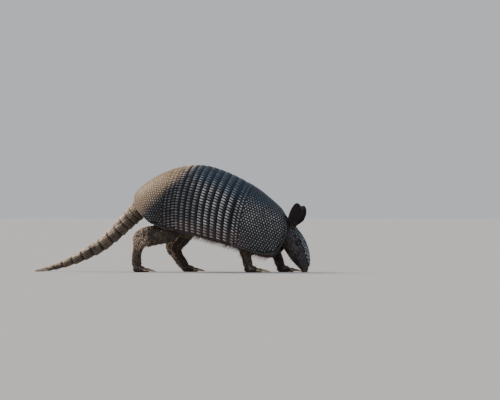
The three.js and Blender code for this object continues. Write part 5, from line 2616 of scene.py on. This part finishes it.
@dataclass
class Claws:
    """All claws: curved, narrow and blunt, each growing out of its toe."""

    finish: ClawFinish = ClawFinish()
    sides: int = 18
    cuts: int = 15
    rooted: float = 0.22  # share of the length that lies inside the toe

    def build(self) -> None:
        """Makes a claw for each toe."""
        material = self.finish.material()
        for name, foot in FEET.items():
            for number, (toe, root, tip) in enumerate(foot.toes(), 1):
                node = f"{name.replace('foot', 'claw')}_{number}"
                place_piece(self._claw(node + "_horn", toe, root, tip), material, "claw", node)

    def _claw(self, name: str, toe: Toe, root: Array, tip: Array) -> bpy.types.Object:
        """Shapes one claw from a rod.

        Args:
            name: the piece's name.
            toe: its toe.
            root: where the toe begins.
            tip: where the toe ends.

        Returns:
            The claw.
        """
        piece = Bench.start(bpy.ops.mesh.primitive_cylinder_add, vertices=self.sides, radius=MM, depth=MM)
        with Bench.picked(piece, "EDGE", lambda e: abs(e.verts[0].co.z - e.verts[1].co.z) > MM / 2):
            bpy.ops.mesh.subdivide(number_cuts=self.cuts)
        with Bench.picked(piece, "FACE", lambda f: abs(f.normal.z) > 0.9):
            bpy.ops.mesh.poke()
        rod = vertices_of(piece)
        out = (rod[:, 2] + 0.5) * (1 + self.rooted) - self.rooted
        ahead = unit((tip - root) * np.array([1, 1, 0]))
        side = np.cross([0, 0, 1.0], ahead)
        length = toe.claw + toe.radius * (1 - CLAW_ROOT)
        taper = 0.8 + (CLAW_TIP - 0.8) * np.clip(out, 0, 1) ** 1.15
        taper *= np.sqrt(np.clip((1.004 - out) * 14, 0, 1)) * (
            0.8 + 0.2 * smooth_step(-self.rooted, 0.05, out))
        across, upward = -rod[:, 0], rod[:, 1]
        upward = np.where(upward < 0, upward * (0.8 + 0.25 * across**2), upward * (1 - 0.16 * across**2))
        radius = toe.radius * taper
        points = tip + ahead * (toe.radius * CLAW_ROOT + length * out)[:, None]
        points = points + side * (across * radius * CLAW_FLAT)[:, None]
        points[:, 2] += upward * radius + CLAW_RISE * out - CLAW_DROP * length * np.maximum(out, 0) ** 2
        move_vertices(piece, above_floor(points, FLOOR_GAP))
        Bench.outward(piece)
        Bench.smooth(piece)
        piece.name = piece.data.name = name
        paint_numbers(piece.data, rise=np.clip(out, 0, 1))
        return piece


# ---- Tail ----

TAIL_POINTS = (
    (-57.6, 0, 119.7), (-84, 2, 94), (-105, 5.5, 73.6), (-133, 10.5, 51), (-163, 16.5, 34.6),
    (-192, 22.5, 20.8), (-222, 28, 10.3), (-250, 31, 3.5), (-265.6, 31.5, 1),
)
TAIL_RADII = (17.5, 15, 13.3, 12, 10.6, 7.9, 5.4, 3, 1.2)
TAIL_MARGIN = 0.5  # how near to its ends the tail's surface is read
TAIL_RING_LENGTHS = (12, 12, 15, 17.5, 20.5, 22.5, 22, 21.5, 23, 22.5, 18, 14)
RING_PROFILE = (  # share of the ring's length, share of the tail's radius
    (-0.12, 0.5), (-0.1, 0.78), (0.0, 0.85), (0.12, 0.88), (0.3, 0.93), (0.6, 0.97),
    (0.85, 1.0), (0.94, 1.0), (0.985, 0.985), (1.0, 0.94), (0.99, 0.86), (0.96, 0.6),
)


class TailForm(Form):
    """The tail's surface, by millimetres from its root and the angle from its top."""

    step = 0.4

    def __init__(self) -> None:
        """Measures the centre line."""
        self.axis = Track(np.array(TAIL_POINTS, float), extended=True)
        self.radii = Track(np.array(TAIL_RADII, float)[:, None])
        self.shares = np.linspace(0, 1, 201)
        steps = np.linalg.norm(np.diff(self.axis.at(self.shares), axis=0), axis=1)
        self.travels = np.concatenate([[0], np.cumsum(steps)])
        self.length = float(self.travels[-1])

    def _share(self, s: Array) -> Array:
        """The track's own parameter at this many millimetres."""
        return np.interp(s, self.travels, self.shares)

    def radius(self, s: Array) -> Array:
        """How thick the tail is there."""
        return self.radii.at(self._share(s))[..., 0]

    def centre(self, s: Array) -> Array:
        """The centre line."""
        return self.axis.at(self._share(np.asarray(s, float)))

    def place(self, s: Array, a: Array) -> Array:
        """Finds points of the surface.

        Args:
            s: how far along the tail they are.
            a: their angles.

        Returns:
            The points.
        """
        s, a = paired(s, a)
        s = np.clip(s, TAIL_MARGIN, self.length - TAIL_MARGIN)
        tangent = unit(self.centre(s + self.step) - self.centre(s - self.step))
        side = sideways(tangent)
        up = np.cross(side, tangent)
        radius = self.radius(s)[..., None]
        return self.centre(s) + (up * np.cos(a)[..., None] + side * np.sin(a)[..., None]) * radius


tail_form = TailForm()


@dataclass
class RingScale:
    """A tail scale one millimetre long and wide: five sided, keeled, with its point to the rear."""

    point: float = 0.3
    narrow: float = 0.86
    bevel: float = 0.13
    keel: float = 0.3

    def template(self) -> Template:
        """Models the scale from a cube. X runs to the tip of the tail, Y across and Z up.

        Returns:
            The scale, ready to be laid.
        """
        piece = Bench.start(bpy.ops.mesh.primitive_cube_add, size=MM)
        with Bench.picked(piece, "EDGE", lambda e: abs(e.verts[0].co.y - e.verts[1].co.y) > MM / 2):
            bpy.ops.mesh.subdivide(number_cuts=1)
        with Bench.picked(piece, "VERT", lambda v: v.co.x > 0 and abs(v.co.y) < MM / 10):
            bpy.ops.transform.translate(value=(self.point * MM, 0, 0))
        with Bench.picked(piece, "VERT", lambda v: v.co.x < 0):
            bpy.ops.transform.resize(value=(1, self.narrow, 1))
        for rise in (0.3, 0.16):
            with Bench.picked(piece, "FACE", lambda f: f.normal.z > 0.9):
                bpy.ops.mesh.inset(thickness=self.bevel * MM, depth=0.0)
                bpy.ops.transform.translate(value=(0, 0, rise * MM))
        with Bench.picked(piece, "VERT", lambda v: v.co.z > 0.6 * MM and abs(v.co.y) < MM / 10):
            bpy.ops.transform.translate(value=(0, 0, self.keel * MM))
        return Template(piece)


@dataclass
class Tail:
    """Twelve rings of horny scales that overlap toward the tip, then the tip in small whorls."""

    ring_finish: ScaleFinish = ScaleFinish(
        "tail_ground", (0.020, 0.015, 0.012), (0.07, 0.055, 0.044), (0.05, 0.04, 0.03), 0.9, 0.66, gloss=0.15
    )
    # the pale warm horn is partly the scales' own colour, partly painted sunlight
    scale_finish: ScaleFinish = ScaleFinish(
        "tail_horn", (0.018, 0.013, 0.011), (0.98, 0.77, 0.55), (0.42, 0.26, 0.16), low=0.15, high=0.85
    )
    # each row's start and end as shares of the ring, its height and its tone
    rows: Sequence[tuple[float, float, float, float]] = ((0.11, 0.54, 0.6, 0.78), (0.4, 1.0, 0.9, 1.05))
    scale_width: float = 4.6
    overhang: float = 1.1
    sides: int = 72

    def build(self) -> None:
        """Makes every ring with its scales, then the tip."""
        ground, horn = self.ring_finish.material(), self.scale_finish.material()
        shape, rng, start = RingScale().template(), np.random.default_rng(SEED + 1), 0.0
        for number, length in enumerate(TAIL_RING_LENGTHS, 1):
            ring = self._core(f"tail_ring_{number}_core", start, start + length)
            scales = self._rows(f"tail_ring_{number}_scales", shape, start, length, rng)
            place_piece(ring, ground, "tail", f"tail_ring_{number}")
            place_piece(scales, horn, "tail")
            start += length
        tip = self._core("tail_tip_core", start, tail_form.length)
        place_piece(tip, ground, "tail", "tail_tip")
        place_piece(self._whorls(shape, start, rng), horn, "tail")

    def _core(self, name: str, start: float, end: float) -> bpy.types.Object:
        """A ring's own body, narrower in front, where it slips under the ring before it.

        Args:
            name: the piece's name.
            start: where the ring begins.
            end: where it ends.

        Returns:
            The body, with rise and tone for its finish.
        """
        share, size = np.array(RING_PROFILE).T
        travel = start + (end - start) * share[:, None]
        angle = np.linspace(0, 2 * math.pi, self.sides, endpoint=False)[None]
        around = tail_form.place(travel, angle)
        middle = tail_form.centre(np.clip(travel, TAIL_MARGIN, tail_form.length - TAIL_MARGIN))
        points = middle + (around - middle) * size[:, None, None]
        poles = np.stack([middle[0, 0], middle[-1, 0]])
        points = above_floor(np.vstack([points.reshape(-1, 3), poles]), 0.05)
        piece = Bench.cast(name, points, lathe_faces(len(share), self.sides))
        rise = np.concatenate([np.repeat(smooth_step(0.3, 1, share), self.sides), [0, 0]])
        paint_numbers(piece.data, rise=rise, tone=np.full(len(points), 0.4))
        return piece

    def _rows(self, name: str, shape: Template, start: float, length: float,
              rng: np.random.Generator) -> bpy.types.Object:
        """The two rows of scales of one ring: small ones in front, large ones over the rear edge.

        Args:
            name: the piece's name.
            shape: one scale.
            start: where the ring begins.
            length: how long it is.
            rng: the draws for tone and size.

        Returns:
            Both rows as one piece.
        """
        around = 2 * math.pi * float(tail_form.radius(start + length / 2))
        count = max(int(around / self.scale_width), 9)
        gathered = Gathering()
        for row, (low, high, tall, mean) in enumerate(self.rows):
            for i in range(count):
                turn = 2 * math.pi * (i + row / 2) / count
                long = length * (high - low) + (self.overhang if row else 0)
                # painted light: paler on the tail's top, darker below as painted shade
                tone = rng.normal(mean, 0.3) * (0.14 + 0.86 * float(smooth_step(-0.2, 0.8, math.cos(turn))))
                self._lay(shape, start + length * low, long, turn, 1.0 / count, tall, tone, rng, gathered,
                          start, length)
        return gathered.piece(name)

    def _whorls(self, shape: Template, start: float, rng: np.random.Generator) -> bpy.types.Object:
        """Ever smaller scales round the tip, to a blunt end.

        Args:
            shape: one scale.
            start: where the last ring ends.
            rng: the draws for tone and size.

        Returns:
            All of the tip's scales as one piece.
        """
        gathered, travel, row = Gathering(), start, 0
        while travel < tail_form.length - 2.5:
            radius = float(tail_form.radius(travel))
            long = 2.2 + radius * 0.55
            count = max(int(2 * math.pi * radius / (1.4 + radius * 0.45)), 6)
            for i in range(count):
                turn = 2 * math.pi * (i + row % 2 / 2) / count
                tall, tone = 0.25 + radius * 0.1, rng.normal(0.6, 0.12)
                self._lay(shape, travel, long * 1.15, turn, 1.0 / count, tall, tone, rng, gathered,
                          start - 30, 60)  # laid as on the rear half of a very long ring
            travel += long * 0.86
            row += 1
        return gathered.piece("tail_tip_scales")

    @staticmethod
    def _lay(shape: Template, start: float, length: float, turn: float, width: float, tall: float,
             tone: float, rng: np.random.Generator, into: Gathering,
             ring_start: float, ring_length: float) -> None:
        """Lays one scale.

        Args:
            shape: the scale's template.
            start: where its front edge lies.
            length: how long it is.
            turn: the angle of its middle.
            width: the share of the way round that it takes.
            tall: how high it stands.
            tone: how pale it is.
            rng: the draws that vary its size.
            into: what it is added to.
            ring_start: where its ring begins.
            ring_length: how long the ring is.
        """
        along = (shape.points[:, 0] + 0.5) / 1.3
        travel = start + length * along * rng.uniform(0.96, 1.05)
        angle = turn + shape.points[:, 1] * 2 * math.pi * width * 0.97
        climb = 0.3 + 0.7 * smooth_step(0.0, 0.75, along)
        radius = float(tail_form.radius(start))
        sunk = min(1.1, 0.09 * radius)
        ground = sunk * (smooth_step(0.0, 0.8, (travel - ring_start) / ring_length) - 1)
        height = ground - 0.3 + (shape.points[:, 2] + 0.5) * tall * climb * rng.uniform(0.9, 1.1)
        points = above_floor(tail_form.raised(travel, angle, height), 0.06)
        flat = np.stack([travel, turn * radius + (angle - turn) * 0.9 * radius], -1)
        into.add(points, shape.faces, shape.rise * (0.45 + 0.55 * climb), max(tone, 0.1), flat, shape.bottom)


# ---- Studio ----


@dataclass
class Studio:
    """The floor, the light and the camera."""

    floor_colour: Colour = (0.58, 0.585, 0.60)
    room_colour: Colour = (0.90, 0.94, 1.0)
    room_light: float = 0.6
    sun_light: float = 2.7
    sun_colour: Colour = (1.0, 0.83, 0.63)
    azimuth: float = math.radians(8)
    aim: tuple[float, float, float] = (151.46, 21.29, 136.8)
    distance: float = 10400.0
    view_width: float = 950.0
    sensor: float = 36.0

    def build(self) -> None:
        """Sets up everything around the animal."""
        self._floor()
        self._world()
        self._lights()
        self._camera()

    def _floor(self) -> None:
        """A wide, plain, pale floor."""
        floor = Bench.settle(Bench.start(bpy.ops.mesh.primitive_plane_add, size=60), "studio_floor")
        paint = Paint("studio_floor", 0.95, Specular_IOR_Level=0.1)
        paint.shader.inputs["Base Color"].default_value = (*self.floor_colour, 1)
        floor.data.materials.append(paint.material)

    def _world(self) -> None:
        """A plain pale room."""
        world = bpy.data.worlds.new("studio")
        world.use_nodes = True
        back = world.node_tree.nodes["Background"]
        back.inputs["Color"].default_value = (*self.room_colour, 1)
        back.inputs["Strength"].default_value = self.room_light
        bpy.context.scene.world = world

    def _lights(self) -> None:
        """A broad warm light from behind and above the rear, and a weak cool one from the near side."""
        self._distant("key", (-780, 560, 700), self.sun_light, 16, self.sun_colour)
        self._distant("fill", (500, -1200, 700), 0.35, 60, (0.84, 0.92, 1.0))

    @staticmethod
    def _distant(name: str, source: Sequence[float], strength: float, width: float, colour: Colour) -> None:
        """A light from far off.

        Args:
            name: the lamp's name.
            source: the direction it comes from.
            strength: its strength.
            width: how many degrees it spans, which softens its shadows.
            colour: its tint.
        """
        lamp = bpy.data.lights.new(name, "SUN")
        lamp.energy, lamp.angle, lamp.color = strength, math.radians(width), colour
        holder = bpy.data.objects.new(name, lamp)
        holder.location = Vector(source) * MM
        holder.rotation_euler = (-Vector(source)).to_track_quat("-Z", "Y").to_euler()
        bpy.context.scene.collection.objects.link(holder)

    def _camera(self) -> None:
        """A level camera with a long lens, as from far off across the ground."""
        data = bpy.data.cameras.new("camera")
        data.sensor_width = self.sensor
        data.lens = self.sensor * self.distance / self.view_width
        data.clip_end = 100
        camera = bpy.data.objects.new("camera", data)
        look = Vector((-math.sin(self.azimuth), math.cos(self.azimuth), 0))
        camera.location = (Vector(self.aim) - look * self.distance) * MM
        camera.rotation_euler = (math.pi / 2, 0, self.azimuth)
        bpy.context.scene.collection.objects.link(camera)
        bpy.context.scene.camera = camera


def main() -> None:
    """Builds the animal part by part."""
    logging.basicConfig(level=logging.INFO, format="%(name)s: %(message)s")
    Shell().build()
    hide = Hide().build()
    skin, rng = SkinTree(hide), np.random.default_rng(SEED + 2)
    HeadShield().build(skin, rng)
    LimbScales().build(skin, rng)
    Hairs().build(skin, rng)
    Eyes().build()
    Claws().build()
    Tail().build()
    Studio().build()
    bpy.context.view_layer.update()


if __name__ == "__main__":
    main()
